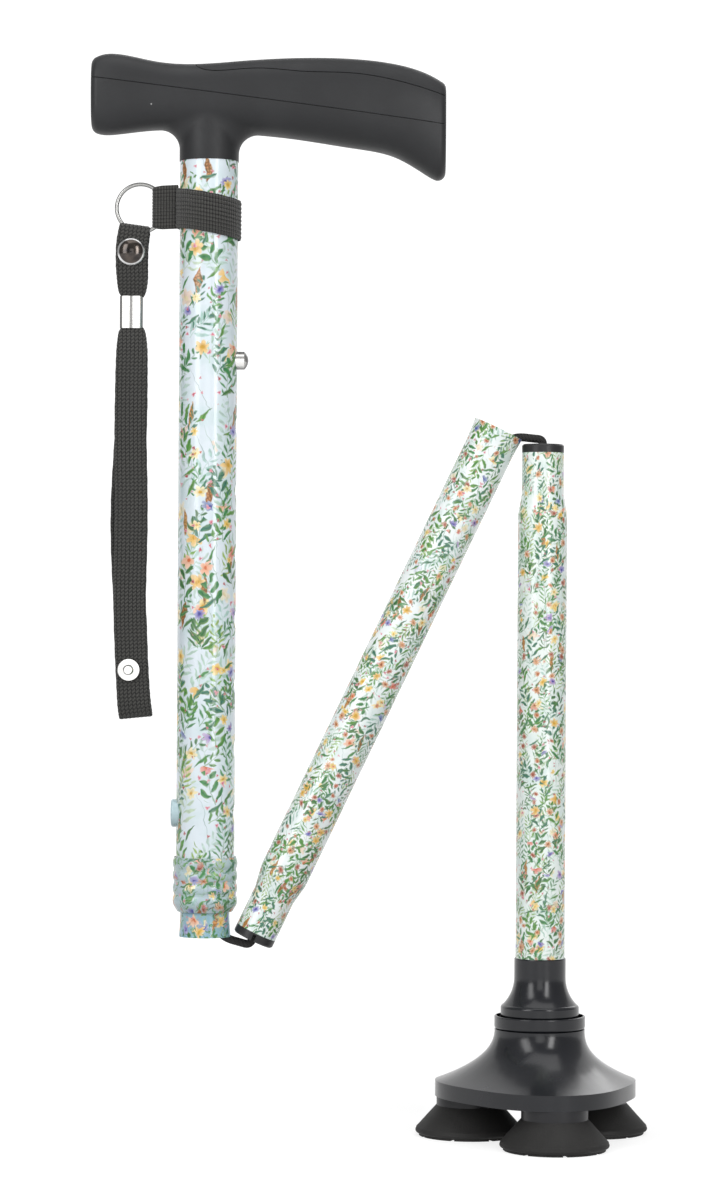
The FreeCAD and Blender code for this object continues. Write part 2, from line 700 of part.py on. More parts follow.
# The handle's upright sections from nose to beak: name, place along X from the tube's axis, top and
# underside above the neck's lower edge, and width.
HANDLE_STATIONS = [
    ("nose", -45.4, 38.8, 11.6, 20.0),
    ("brow", -36.0, 41.2, 10.3, 22.0),
    ("saddle", -21.0, 38.4, 12.0, 23.6),
    ("waist", -5.0, 37.4, 11.7, 25.4),
    ("rise", 13.0, 38.7, 10.8, 27.0),
    ("palm", 34.8, 39.9, 8.7, 28.6),
    ("heel", 56.0, 39.6, 5.5, 28.8),
    ("slope", 72.0, 37.7, 2.0, 27.4),
    ("chin", 83.6, 34.3, -4.6, 25.0),
    ("beak", 91.2, 30.0, -6.8, 22.4),
]
# The crease under the palm's pad: name, place along X and height above the neck's lower edge.
CREASE = [
    ("crease_start", -6.0, 43.0),
    ("crease_corner", -5.4, 36.9),
    ("crease_rise", 15.4, 34.7),
    ("crease_palm", 35.5, 33.5),
    ("crease_heel", 55.5, 32.9),
    ("crease_slope", 71.4, 30.4),
    ("crease_tip", 96.0, 23.0),
]


def handle_sizes():
    """The handle's sections and its crease join the sheet."""
    row = len(DRIVING + DERIVED) + 1
    for station, *values in HANDLE_STATIONS + CREASE:
        names = ("place", "height") if len(values) == 2 else ("place", "top", "foot", "width")
        for name, value in zip(names, values):
            sizes.set(f"A{row}", f"handle {station} {name}")
            sizes.set(f"B{row}", str(value))
            sizes.setAlias(f"B{row}", f"{station}_{name}")
            row += 1
    doc.recompute()


def both(kind, name, base, tool):
    made = doc.addObject(f"Part::{kind}", name)
    made.Base = base
    made.Tool = tool
    return made


def handle_line(station, inset):
    """One upright section of the grip, a rounded block that is squarer above than below."""
    top, foot = size(f"{station}_top") - inset, size(f"{station}_foot") + inset
    half_width, half_height = size(f"{station}_width / 2") - inset, (top - foot) / 2
    points = []
    for step in range(24):
        angle = math.radians(15 * (step + 0.5))
        across, up = math.cos(angle), math.sin(angle)
        square = size("handle_crown") if up > 0 else size("handle_keel")
        y = half_width * math.copysign(abs(across) ** (2 / square), across)
        z = half_height * math.copysign(abs(up) ** (2 / square), up)
        points.append(Vector(size(f"{station}_place"), y, (top + foot) / 2 + z))
    curve = Part.BSplineCurve()
    curve.interpolate(Points=points, PeriodicFlag=True)
    return Part.Wire(curve.toShape())


def handle_grip(inset):
    return Part.makeLoft([handle_line(station[0], inset) for station in HANDLE_STATIONS], True, False)


def above_seam(lift):
    """All that lies above the seam's sloping plane, moved up by lift."""
    reach = size("handle_neck_dia * 6")
    block = Part.makeBox(2 * reach, reach, reach, Vector(-reach, -reach / 2, size("seam_height") + lift))
    block.rotate(Vector(0, 0, size("seam_height")), Vector(0, 1, 0), size("seam_slope"))
    return block


def above_crease(lift):
    """All that lies above the crease, moved up by lift."""
    side, top = size("handle_neck_dia * 2"), size("handle_neck_dia * 4")
    points = [Vector(size(f"{name}_place"), -side, size(f"{name}_height") + lift) for name, _, _ in CREASE]
    curve = Part.BSplineCurve()
    curve.interpolate(Points=points)
    high = [points[-1], Vector(points[-1].x, -side, top), Vector(points[0].x, -side, top), points[0]]
    face = Part.Face(Part.Wire([curve.toShape(), *Part.makePolygon(high).Edges]))
    return face.extrude(Vector(0, 2 * side, 0))


def handle_piece(label, shape):
    piece = doc.addObject("Part::Feature", label)
    piece.Shape = shape.Solids[0] if len(shape.Solids) == 1 else shape
    piece.setExpression("Placement", bound(HANDLE))
    keep(piece, label)


def make_handle():
    """The grip is lofted whole, its ends rounded, joined to its neck by a fillet and bored for the
    core. Then it's parted: the palm's pad along the crease, and the two shells along the seam. Every
    joint line is a narrow groove, and the pieces meet under it."""
    handle_sizes()
    grip = handle_grip(0)
    grip = grip.makeFillet(size("handle_edge"), [edge for edge in grip.Edges if edge.BoundBox.XLength < 0.01])
    radius = size("handle_neck_dia / 2")
    whole = grip.fuse(Part.makeCylinder(radius, size("waist_foot + 9")))
    joint = [
        edge
        for edge in whole.Edges
        if edge.BoundBox.ZMin > size("waist_foot") * 0.5
        and edge.BoundBox.XLength < radius * 2.1
        and all(abs(math.hypot(end.X, end.Y) - radius) < 0.02 for end in edge.Vertexes)
    ]
    whole = whole.makeFillet(size("handle_fillet"), joint)
    bore = Part.makeCylinder(size("outer_dia / 2 - outer_wall"), size("core_above + fit_gap"))
    whole = whole.cut(bore)

    gap, depth = size("seam_gap"), size("seam_depth")
    inside = handle_grip(depth)
    groove = above_seam(0).cut(above_seam(gap)).cut(inside)
    line = above_crease(-gap).cut(above_crease(0)).cut(inside)
    handle_piece("handle_palm_pad", whole.common(above_crease(0)))
    upper = whole.common(above_seam(0)).cut(above_crease(0)).cut(groove).cut(line)
    handle_piece("handle_upper_shell", upper)
    handle_piece("handle_lower_shell", whole.cut(above_seam(0)))
    core = new_body("handle_core", HANDLE)
    outside = "(outer_dia / 2 - outer_wall - fit_gap)"
    inner = f"({outside} - 2.2)"
    turned(
        core,
        "core_form",
        [
            (inner, "-core_below"),
            (outside, "-core_below"),
            (outside, "core_above"),
            ("0", "core_above"),
            ("0", "core_above - 3"),
            (inner, "core_above - 3"),
        ],
    )
    keep(core, "handle_core")


def cylinder(name, radius, height, frame):
    made = doc.addObject("Part::Cylinder", name)
    made.setExpression("Radius", bound(radius))
    made.setExpression("Height", bound(height))
    made.setExpression("Placement", bound(frame))
    return made


def torus(name, wire):
    """The ring's own circle with a wire of some radius, upright and facing -Y."""
    made = doc.addObject("Part::Torus", name)
    made.setExpression("Radius1", bound("ring_dia / 2"))
    made.setExpression("Radius2", bound(wire))
    place = placed("-ring_from_axis", "0", "ring_height", "90", "1; 0; 0")
    made.setExpression("Placement", bound(f"{UPPER} * {place}"))
    return made


def make_strap_band():
    """The elastic band round the outer tube, its sewn tab and the ring that the tab holds."""
    lean = placed("0", "0", "band_height", "band_tilt")
    shift = placed(z="-band_width")
    outside = "outer_dia / 2 + fit_gap + webbing_thick"
    sleeve = cylinder("band_outside", outside, "band_width * 2", f"{UPPER} * {placed(z='band_height - band_width')}")
    hollow = cylinder(
        "band_inside", "outer_dia / 2 + fit_gap", "band_width * 4", f"{UPPER} * {placed(z='band_height - band_width * 2')}"
    )
    wall = both("Cut", "band_wall", sleeve, hollow)
    level = doc.addObject("Part::Box", "band_slice")
    level.setExpression("Length", bound("outer_dia * 4"))
    level.setExpression("Width", bound("outer_dia * 4"))
    level.setExpression("Height", bound("band_width * cos(band_tilt)"))
    corner = placed("-outer_dia * 2", "-outer_dia * 2", "-band_width * cos(band_tilt) / 2")
    level.setExpression("Placement", bound(f"{UPPER} * {lean} * {corner}"))
    keep(both("Common", "strap_band_form", wall, level), "strap_band")

    body = new_body("tab_form", UPPER)
    left, right = "-tab_left", f"-({outside} + fit_gap)"
    low, high = "(tab_middle - tab_height / 2)", "(tab_middle + tab_height / 2)"
    half = "(tab_thick / 2)"
    line = outline(
        new_sketch(body, "tab_line", "XY_Plane", low),
        [
            (f"{left} + {half}", f"-{half}"),
            (right, f"-{half}"),
            (right, half),
            (f"{left} + {half}", half, half),
            (left, "0", half),
        ],
    )
    pad(body, "tab_block", line, "tab_height")
    slot = outline(
        new_sketch(body, "tab_slot_line", "XY_Plane", f"{low} - 1"),
        [
            (f"{left} + webbing_thick + 0.8", f"-({half} - webbing_thick)"),
            (f"{right} - webbing_thick", f"-({half} - webbing_thick)"),
            (f"{right} - webbing_thick", f"{half} - webbing_thick"),
            (f"{left} + webbing_thick + 0.8", f"{half} - webbing_thick"),
        ],
    )
    pocket(body, "tab_slot", slot, "tab_height + 2", reverse=True)
    clear = torus("ring_clearance", "ring_wire / 2 + free_gap / 2")
    keep(both("Cut", "tab_cut", body, clear), "strap_tab")
    keep(torus("ring_form", "ring_wire / 2"), "split_ring")


def loop_outline(body, name, inset):
    """The strap seen from its edge: a narrow fold over the ring, a wider one at the foot."""
    top_bend = f"(strap_top_bend - {inset})"
    foot_bend = f"(strap_foot_bend - {inset})"
    top, foot = "(strap_top - strap_top_bend)", "(strap_foot + strap_foot_bend)"
    return outline(
        new_sketch(body, name, "YZ_Plane"),
        [
            (top_bend, top, top_bend),
            ("0", f"{top} + {top_bend}", top_bend),
            (f"-{top_bend}", top),
            (f"-{foot_bend}", foot, foot_bend),
            ("0", f"{foot} - {foot_bend}", foot_bend),
            (foot_bend, foot),
        ],
    )


def strap_block(name, wide, from_z, height):
    """A block round the strap, used to gather it where the clamp holds it."""
    block = doc.addObject("Part::Box", name)
    block.setExpression("Length", bound(wide))
    block.setExpression("Width", bound("strap_foot_bend * 4"))
    block.setExpression("Height", bound(height))
    place = placed(f"-strap_from_axis - {wide} / 2", "-strap_foot_bend * 2", from_z)
    block.setExpression("Placement", bound(f"{UPPER} * {place}"))
    return block


def make_strap():
    """The wrist strap hangs as one loop of webbing, with its clamp, press stud and stud."""
    beside = placed(x="-strap_from_axis")
    body = new_body("strap_form", f"{UPPER} * {beside}")
    pad(body, "strap_outer", loop_outline(body, "strap_outer_line", "0"), "strap_width", both=True)
    pocket(body, "strap_inner", loop_outline(body, "strap_inner_line", "webbing_thick"), "strap_width * 2", both=True)
    clear = torus("strap_ring_clearance", "ring_wire / 2 + free_gap / 2")
    threaded = both("Cut", "strap_over_ring", body, clear)
    foot = "(clamp_top - clamp_height)"
    around_clamp = strap_block("clamp_zone", "strap_width * 2", foot, "clamp_height")
    waist = strap_block("clamp_waist", "strap_waist", foot, "clamp_height")
    beside_waist = both("Cut", "beside_waist", around_clamp, waist)
    keep(both("Cut", "strap_gathered", threaded, beside_waist), "wrist_strap")

    clamp = new_body("clamp_form", f"{UPPER} * {beside}")
    half, deep = "(clamp_width / 2)", "(clamp_depth / 2)"
    barrel = "(clamp_width / 4)"
    groove = "(clamp_depth * 0.38)"
    line = outline(
        new_sketch(clamp, "clamp_line", "XY_Plane", foot),
        [
            (f"-{half}", f"-({deep} - {barrel})", barrel),
            (f"-{barrel}", f"-{deep}", f"({barrel} * 1.6)"),
            ("0", f"-{groove}", f"({barrel} * 1.6)"),
            (barrel, f"-{deep}", barrel),
            (half, f"-({deep} - {barrel})"),
            (half, f"{deep} - {barrel}", barrel),
            (barrel, deep),
            (f"-{barrel}", deep, barrel),
            (f"-{half}", f"{deep} - {barrel}"),
        ],
    )
    pad(clamp, "clamp_block", line, "clamp_height")
    keep(both("Cut", "clamp_cut", clamp, pieces[-1]), "strap_clamp")

    leg = "(strap_top_bend + (strap_foot_bend - strap_top_bend) * (strap_top - strap_top_bend - {at})"
    leg += " / (strap_top - strap_top_bend - strap_foot - strap_foot_bend))"
    front = leg.format(at="(snap_height - 6)")
    cap = new_body("press_stud_cap", f"{UPPER} * {placed('-strap_from_axis', '0', 'snap_height', '90', '1; 0; 0')}")
    radius = "(snap_dia / 2)"
    turned(
        cap,
        "snap_cap_form",
        [
            ("0", front),
            (f"{radius} - 0.4", front),
            (radius, f"{front} + 0.5"),
            (f"{radius} - 0.3", f"{front} + 0.9", f"(({radius} - 0.3) ^ 2 + snap_dome ^ 2) / (2 * snap_dome)"),
            ("0", f"{front} + 0.9 + snap_dome"),
        ],
    )
    keep(cap, "press_stud_cap")
    back = new_body("press_stud_socket", f"{UPPER} * {placed('-strap_from_axis', '0', 'snap_height', '-90', '1; 0; 0')}")
    turned(
        back,
        "snap_socket_form",
        [
            ("socket_dia / 5", front),
            ("socket_dia / 2", front),
            ("socket_dia / 2", f"{front} + socket_thick * 0.5"),
            ("socket_dia / 3", f"{front} + socket_thick"),
            ("socket_dia / 5", f"{front} + socket_thick"),
        ],
    )
    keep(back, "press_stud_socket")
    front = leg.format(at="(stud_height - 6)")
    stud = new_body("strap_stud", f"{UPPER} * {placed('-strap_from_axis', '0', 'stud_height', '90', '1; 0; 0')}")
    neck = "(stud_post_dia / 2)"
    turned(
        stud,
        "stud_form",
        [
            ("0", front),
            ("stud_dia / 2 - 0.3", front),
            ("stud_dia / 2", f"{front} + 0.5"),
            ("stud_dia / 2 - 0.3", f"{front} + 1"),
            (neck, f"{front} + 1.1"),
            (f"{neck} - 0.3", f"{front} + stud_post * 0.6"),
            (neck, f"{front} + stud_post - 0.6"),
            (f"{neck} - 0.5", f"{front} + stud_post"),
            ("0", f"{front} + stud_post"),
        ],
    )
    keep(stud, "strap_stud")


def make_ferrule():
    """The ferrule that the lower tube stands in, with its skirt over the pivot."""
    body = new_body("ferrule", LOWER)
    skirt = "(skirt_dia / 2)"
    band_top = "(ferrule_foot + skirt_band)"
    turned(
        body,
        "ferrule_form",
        [
            ("stud_pin_dia / 2 + fit_gap", "ferrule_foot"),
            (f"{skirt} - 0.5", "ferrule_foot"),
            (skirt, "ferrule_foot + 0.6"),
            (skirt, band_top, "1.6"),
            (f"{skirt} - 0.9", f"{band_top} + 1.1", "-skirt_bend"),
            ("ferrule_dia / 2", "skirt_start"),
            ("ferrule_dia / 2", "ferrule_top - 0.4"),
            ("ferrule_dia / 2 - 0.2", "ferrule_top"),
            (f"{TUBE_RADIUS} + fit_gap", "ferrule_top"),
            (f"{TUBE_RADIUS} + fit_gap", "ferrule_floor - fit_gap"),
            ("stud_pin_dia / 2 + fit_gap", "ferrule_floor - fit_gap"),
        ],
    )
    keep(body, "ferrule")


def make_pivot():
    """The pin under the ferrule, the ball that turns on it and the cup between ball and bell."""
    pin = new_body("ball_stud", LOWER)
    centre = "pivot_height"
    under = f"({centre} - ball_flat - 0.2)"
    turned(
        pin,
        "ball_stud_form",
        [
            ("0", f"{under} - 0.7"),
            ("stud_flange_dia / 2", f"{under} - 0.7"),
            ("stud_flange_dia / 2", under),
            ("stud_pin_dia / 2", under),
            ("stud_pin_dia / 2", "ferrule_floor - fit_gap"),
            ("0", "ferrule_floor - fit_gap"),
        ],
    )
    keep(pin, "ball_stud")
    ball = new_body("swivel_ball", LOWER)
    flat_radius = "sqrt((ball_dia / 2) ^ 2 - ball_flat ^ 2)"
    bore = "(stud_pin_dia / 2 + 0.06)"
    turned(
        ball,
        "ball_form",
        [
            (bore, f"{centre} - ball_flat"),
            (flat_radius, f"{centre} - ball_flat", "ball_dia / 2"),
            (flat_radius, f"{centre} + ball_flat"),
            (bore, f"{centre} + ball_flat"),
        ],
    )
    keep(ball, "swivel_ball")
    cup = new_body("ball_cup", LOWER)
    inside = "(ball_dia / 2 + free_gap)"
    outside = f"({inside} + cup_wall)"
    turned(
        cup,
        "cup_form",
        [
            ("0", f"{centre} - {outside}", outside),
            (outside, centre, outside),
            (f"sqrt({outside} ^ 2 - cup_rim ^ 2)", f"{centre} + cup_rim"),
            (f"sqrt({inside} ^ 2 - cup_rim ^ 2)", f"{centre} + cup_rim", "-" + inside),
            (inside, centre, "-" + inside),
            ("0", f"{centre} - {inside}"),
        ],
    )
    keep(cup, "ball_cup")


def rim_line(height, radius, lobe):
    """A rounded triangle that swells over each foot, as one smooth closed line."""
    turn = math.radians(size("foot_turn"))
    points = []
    for step in range(36):
        angle = math.radians(step * 10)
        reach = radius + lobe * math.cos(3 * (angle - turn))
        points.append(Vector(reach * math.sin(angle), -reach * math.cos(angle), height))
    curve = Part.BSplineCurve()
    curve.interpolate(Points=points, PeriodicFlag=True)
    return Part.Wire(curve.toShape())


def bell_flare(share, inset):
    """One section of the bell: share runs from 0 at the band's top to 1 at the neck."""
    band_top, neck_top = size("bell_band_top"), size("neck_ring_foot")
    rim, neck = size("bell_rim_radius"), size("bell_neck_dia / 2")
    height = band_top + (neck_top - band_top) * share
    spread = (1 - share) ** 2.35
    radius = neck + (rim - neck) * spread - inset
    return rim_line(height, radius, size("bell_lobe") * (1 - share) ** 1.6)


def make_bell():
    """The bell: a round neck that flares to a three-lobed rim, hollow under its skin, with a post
    round the socket for the ball's cup."""
    foot, band_top = size("bell_foot"), size("bell_band_top")
    rim, lobe, wall = size("bell_rim_radius"), size("bell_lobe"), size("bell_wall")
    shares = [0, 0.12, 0.26, 0.42, 0.6, 0.8, 1]
    skin = Part.makeLoft([bell_flare(share, 0) for share in shares], True, False)
    band = Part.makeLoft([rim_line(foot, rim, lobe), rim_line(band_top, rim, lobe)], True, True)
    outer = skin.fuse(band).removeSplitter()
    hollow_shares = shares[:4]
    hollow = Part.makeLoft([bell_flare(share, wall * 1.35) for share in hollow_shares], True, False)
    hollow_band = Part.makeLoft([rim_line(foot - wall, rim - wall * 1.35, lobe), rim_line(band_top, rim - wall * 1.35, lobe)],
                                True, True)
    drop = FreeCAD.Vector(0, 0, -wall)
    hollow = hollow.translated(drop).fuse(hollow_band.translated(drop * 0.99))
    post = Part.makeCylinder(size("bell_post_dia / 2"), size("bell_post_dia * 2"), Vector(0, 0, size("bell_foot + plate_thick")))
    socket = Part.makeSphere(size("ball_dia / 2 + free_gap * 2 + cup_wall"), Vector(0, 0, size("pivot_height")))
    shape = outer.cut(hollow.cut(post)).cut(socket)
    bell = doc.addObject("Part::Feature", "foot_bell")
    bell.Shape = shape.Solids[0] if len(shape.Solids) == 1 else shape
    bell.Placement = FreeCAD.Placement()
    keep(bell, "foot_bell")


def make_neck_ring():
    """The dished ring on the bell's neck, which lets the ferrule's skirt dip as the base tilts."""
    body = new_body("neck_ring", LOWER)
    outside = "(neck_ring_dia / 2)"
    dish = f"({outside} - neck_ring_lip)"
    turned(
        body,
        "neck_ring_form",
        [
            ("neck_ring_bore / 2", "neck_ring_foot"),
            (f"{outside} - 1.2", "neck_ring_foot", "1.2"),
            (outside, "neck_ring_foot + 1.2"),
            (outside, "neck_ring_top - 0.4", "0.4"),
            (f"{outside} - 0.4", "neck_ring_top"),
            (dish, "neck_ring_top"),
            (dish, "neck_ring_foot + neck_ring_floor"),
            ("neck_ring_bore / 2", "neck_ring_foot + neck_ring_floor"),
        ],
    )
    keep(body, "neck_ring")


def foot_place(index, height="0"):
    """A foot's placement: its own -Y looks away from the bell's axis."""
    angle = f"(foot_turn + {120 * index})"
    return placed(f"foot_radius * sin({angle})", f"-foot_radius * cos({angle})", height, angle, "0; 0; 1")


def make_plate():
    """The plate that closes the bell, with a boss over each foot."""
    rim = size("bell_rim_radius - bell_wall * 1.35 - fit_gap")
    foot = size("bell_foot")
    face = Part.Face(rim_line(foot, rim, size("bell_lobe")))
    sheet = face.extrude(Vector(0, 0, size("plate_thick - fit_gap")))
    for index in range(3):
        place = sizes.evalExpression(bound(foot_place(index, "boss_foot")))
        boss = Part.makeCylinder(size("boss_dia / 2"), size("bell_foot - boss_foot"))
        boss.Placement = place
        sheet = sheet.fuse(boss)
        bore = Part.makeCylinder(size("screw_dia / 2 + fit_gap"), size("bell_foot - boss_foot + plate_thick * 0.5"))
        bore.Placement = place
        sheet = sheet.cut(bore)
    plate = doc.addObject("Part::Feature", "foot_plate")
    plate.Shape = sheet.removeSplitter()
    plate.Placement = FreeCAD.Placement()
    keep(plate, "foot_plate")


def make_feet():
    """Three rubber pads with a grooved tread, each held by a screw from below."""
    for index in range(3):
        label = f"foot_pad_{index + 1}"
        body = new_body(label, foot_place(index))
        edge = "(pad_tread + pad_edge)"
        turned(
            body,
            f"{label}_form",
            [
                ("screw_head_dia / 2 + 0.5", "0"),
                ("pad_tread_dia / 2", "0"),
                ("pad_tread_dia / 2", "pad_tread"),
                ("pad_dia / 2 - 0.5", "pad_tread", "0.9"),
                ("pad_dia / 2", edge, "1.4"),
                ("pad_dia / 2 - 0.6", f"{edge} + 1.1"),
                ("boss_dia / 2 + 0.1", "boss_foot"),
                ("screw_dia / 2 + fit_gap", "boss_foot"),
                ("screw_dia / 2 + fit_gap", "screw_sink + screw_head + fit_gap"),
                ("screw_head_dia / 2 + 0.5", "screw_sink + screw_head + fit_gap"),
            ],
        )
        groove = outline(
            new_sketch(body, f"{label}_groove_line", "YZ_Plane"),
            [
                ("-groove_width / 2", "-groove_depth"),
                ("groove_width / 2", "-groove_depth"),
                ("groove_width / 2", "groove_depth"),
                ("-groove_width / 2", "groove_depth"),
            ],
        )
        cut = pocket(body, f"{label}_groove", groove, "pad_dia", reverse=True)
        around(body, f"{label}_grooves", cut, "groove_count")
        keep(body, label)
        screw = new_body(f"foot_screw_{index + 1}", foot_place(index))
        turned(
            screw,
            f"foot_screw_{index + 1}_form",
            [
                ("0", "screw_sink"),
                ("screw_head_dia / 2", "screw_sink"),
                ("screw_head_dia / 2", "screw_sink + screw_head"),
                ("screw_dia / 2", "screw_sink + screw_head"),
                ("screw_dia / 2", "bell_foot + plate_thick * 0.4"),
                ("0", "bell_foot + plate_thick * 0.4"),
            ],
        )
        keep(screw, f"foot_screw_{index + 1}")


make_lower_tube()
make_end_cap("lower_end_cap", LOWER, "lower_top", "YZ_Plane")
make_anchor("lower_anchor", LOWER, "(lower_anchor_top - anchor_height)", up=False)
make_middle_tube()
make_end_cap("middle_end_cap", MIDDLE, "middle_length", "XZ_Plane")
make_inner_tube()
make_anchor("inner_anchor", UPPER, "inner_anchor_foot", up=True)
make_inner_guide()
make_cords()
make_outer_tube()
make_collet_bush()
make_collar()
make_button()
make_handle()
make_strap_band()
make_strap()
make_ferrule()
make_pivot()
make_bell()
make_neck_ring()
make_plate()
make_feet()
doc.recompute()

faults = []
for item in doc.Objects:
    if "Invalid" in item.State or "Error" in item.State:
        faults.append(f"{item.Name}: {item.State}")
for piece in pieces:
    if piece.Shape.isNull() or not piece.Shape.isValid():
        faults.append(f"{piece.Label}: its shape is null or not valid")
    elif len(piece.Shape.Solids) != 1:
        faults.append(f"{piece.Label}: {len(piece.Shape.Solids)} solids")
if faults:
    raise RuntimeError("; ".join(faults))

os.makedirs("parts", exist_ok=True)
for piece in pieces:
    piece.Shape.exportStep(f"parts/{piece.Label}.step")
print(len(pieces), "sub-parts")
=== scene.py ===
"""A folding walking stick: black T handle, flower-printed tubes half folded on their elastic cord,
a wrist strap on a split ring, and a tilting base on three rubber feet."""

import math

import bpy
from mathutils import Matrix, Vector


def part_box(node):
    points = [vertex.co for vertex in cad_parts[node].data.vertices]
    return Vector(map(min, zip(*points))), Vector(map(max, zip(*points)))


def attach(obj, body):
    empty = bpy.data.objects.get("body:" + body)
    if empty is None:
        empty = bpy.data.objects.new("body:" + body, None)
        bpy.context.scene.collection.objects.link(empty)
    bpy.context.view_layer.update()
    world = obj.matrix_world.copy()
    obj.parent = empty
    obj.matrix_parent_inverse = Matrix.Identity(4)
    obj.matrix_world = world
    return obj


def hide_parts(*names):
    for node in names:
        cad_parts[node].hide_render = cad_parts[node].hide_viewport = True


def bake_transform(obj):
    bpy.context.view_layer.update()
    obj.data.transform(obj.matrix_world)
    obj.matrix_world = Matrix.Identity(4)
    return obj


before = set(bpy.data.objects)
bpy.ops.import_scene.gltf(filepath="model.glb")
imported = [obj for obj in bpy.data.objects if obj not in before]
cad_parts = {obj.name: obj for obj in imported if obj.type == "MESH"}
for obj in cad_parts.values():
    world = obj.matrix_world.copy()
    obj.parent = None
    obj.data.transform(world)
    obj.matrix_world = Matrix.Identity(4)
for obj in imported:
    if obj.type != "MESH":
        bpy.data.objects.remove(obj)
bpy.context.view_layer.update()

MM = 0.001
FOLD = math.radians(25.4)
LOWER_MOUTH = Vector((0, 0, 0))
MIDDLE_MOUTH = Vector((-17.2158, 0, 273.7797)) * MM
UPPER_MOUTH = Vector((-129.4836, 0, 77.4804)) * MM
OUTER_RADIUS = 11.25
TUBE_RADIUS = 9.5
COLLAR_RADIUS = 12.5
# The lower tube's cap over the floor, and the middle tube's cap from its mouth
CAP_TOP = 268.1
MIDDLE_REACH = 218.6
CORD_RADIUS = 1.6
WEB_THICK = 1.3


# The camera and the studio


def set_camera():
    """Level, in front of the stick, with the small lean that the picture has."""
    data = bpy.data.cameras.new("studio_camera")
    data.sensor_fit = "VERTICAL"
    data.sensor_height = 24
    data.sensor_width = 36
    away = 1.42
    data.lens = 24 * away / 0.4632
    camera = bpy.data.objects.new("studio_camera", data)
    camera.location = (-0.0703, -away, 0.20757)
    level = Matrix.Rotation(math.radians(90), 3, "X")
    camera.rotation_euler = (level @ Matrix.Rotation(math.radians(0.34), 3, "Z")).to_euler()
    bpy.context.scene.collection.objects.link(camera)
    bpy.context.scene.camera = camera


def lamp(name, place, aim, width, height, watts):
    data = bpy.data.lights.new(name, "AREA")
    data.shape = "RECTANGLE"
    data.size, data.size_y = width, height
    data.energy = watts
    light = bpy.data.objects.new(name, data)
    light.location = place
    light.rotation_euler = (Vector(aim) - Vector(place)).to_track_quat("-Z", "Y").to_euler()
    bpy.context.scene.collection.objects.link(light)


def light_studio():
    middle = (-0.07, 0, 0.22)
    lamp("tall_softbox_left", (-0.95, -1.0, 0.75), middle, 0.5, 1.2, 8.5)
    lamp("tall_softbox_right", (0.62, -1.15, 0.6), middle, 0.3, 1.1, 7.5)
    lamp("overhead_softbox", (0.0, -0.2, 1.5), middle, 1.4, 1.0, 6.5)
    lamp("front_softbox", (-0.1, -2.3, 0.5), middle, 0.9, 1.2, 5.0)
    lamp("back_softbox", (0.4, 1.7, 1.2), middle, 1.2, 0.9, 6.0)
    world = bpy.data.worlds.new("studio_air")
    world.use_nodes = True
    tree = world.node_tree
    air = tree.nodes["Background"].inputs
    air["Color"].default_value = (1, 1, 1, 1)
    seen = tree.nodes.new("ShaderNodeLightPath").outputs["Is Camera Ray"]
    joined(tree, sum_up(tree, "MULTIPLY_ADD", seen, 0.6, 0.42), air["Strength"])
    bpy.context.scene.world = world


def studio_paper(name, tint, near_glow, far_glow):
    """Pale paper. Seen straight or in a reflection it adds a glow of its own, stronger away from the
    stick, so it stays white and keeps only a soft shadow under the feet."""
    material = bpy.data.materials.new(name)
    material.use_nodes = True
    tree = material.node_tree
    tree.nodes.clear()
    path = tree.nodes.new("ShaderNodeLightPath")
    seen = sum_up(tree, "MAXIMUM", path.outputs["Is Camera Ray"], path.outputs["Is Glossy Ray"])
    seen = sum_up(tree, "MAXIMUM", seen, path.outputs["Is Transmission Ray"])
    away = vector_sum(tree, "LENGTH", row_place(tree))
    glow = spread(tree, away, 0.25, 0.9, near_glow, far_glow)
    paper = tree.nodes.new("ShaderNodeBsdfDiffuse")
    paper.inputs["Color"].default_value = (tint, tint, tint, 1)
    light = tree.nodes.new("ShaderNodeEmission")
    joined(tree, sum_up(tree, "MULTIPLY", seen, glow), light.inputs["Strength"])
    both = tree.nodes.new("ShaderNodeAddShader")
    tree.links.new(paper.outputs[0], both.inputs[0])
    tree.links.new(light.outputs[0], both.inputs[1])
    out = tree.nodes.new("ShaderNodeOutputMaterial")
    tree.links.new(both.outputs[0], out.inputs["Surface"])
    return material


def lay_stage():
    floor = mesh_piece("studio_floor", [(-3, -3, 0), (3, -3, 0), (3, 2.2, 0), (-3, 2.2, 0)], [(0, 1, 2, 3)])
    floor.data.materials.append(studio_paper("floor_paper", 0.3, 0.78, 0.97))
    wall = mesh_piece("studio_wall", [(-3, 2.2, 0), (3, 2.2, 0), (3, 2.2, 3), (-3, 2.2, 3)], [(0, 1, 2, 3)])
    wall.data.materials.append(studio_paper("wall_paper", 0.3, 1.0, 1.0))


def mesh_piece(name, points, faces, smooth=False):
    mesh = bpy.data.meshes.new(name)
    mesh.from_pydata([tuple(point) for point in points], [], faces)
    mesh.update()
    if smooth:
        mesh.polygons.foreach_set("use_smooth", [True] * len(mesh.polygons))
    piece = bpy.data.objects.new(name, mesh)
    bpy.context.scene.collection.objects.link(piece)
    return piece


# Wiring of materials: each call places one node and gives back its output


def joined(tree, value, socket):
    if isinstance(value, bpy.types.NodeSocket):
        tree.links.new(value, socket)
    elif value is not None:
        socket.default_value = value


def sum_up(tree, operation, first, second=None, third=None, clamp=False):
    node = tree.nodes.new("ShaderNodeMath")
    node.operation = operation
    node.use_clamp = clamp
    for socket, value in zip(node.inputs, (first, second, third)):
        joined(tree, value, socket)
    return node.outputs[0]


def vector_sum(tree, operation, first, second=None):
    node = tree.nodes.new("ShaderNodeVectorMath")
    node.operation = operation
    joined(tree, first, node.inputs[0])
    if operation == "SCALE":
        joined(tree, second, node.inputs["Scale"])
    else:
        joined(tree, second, node.inputs[1])
    return node.outputs["Value" if operation in ("LENGTH", "DOT_PRODUCT") else "Vector"]


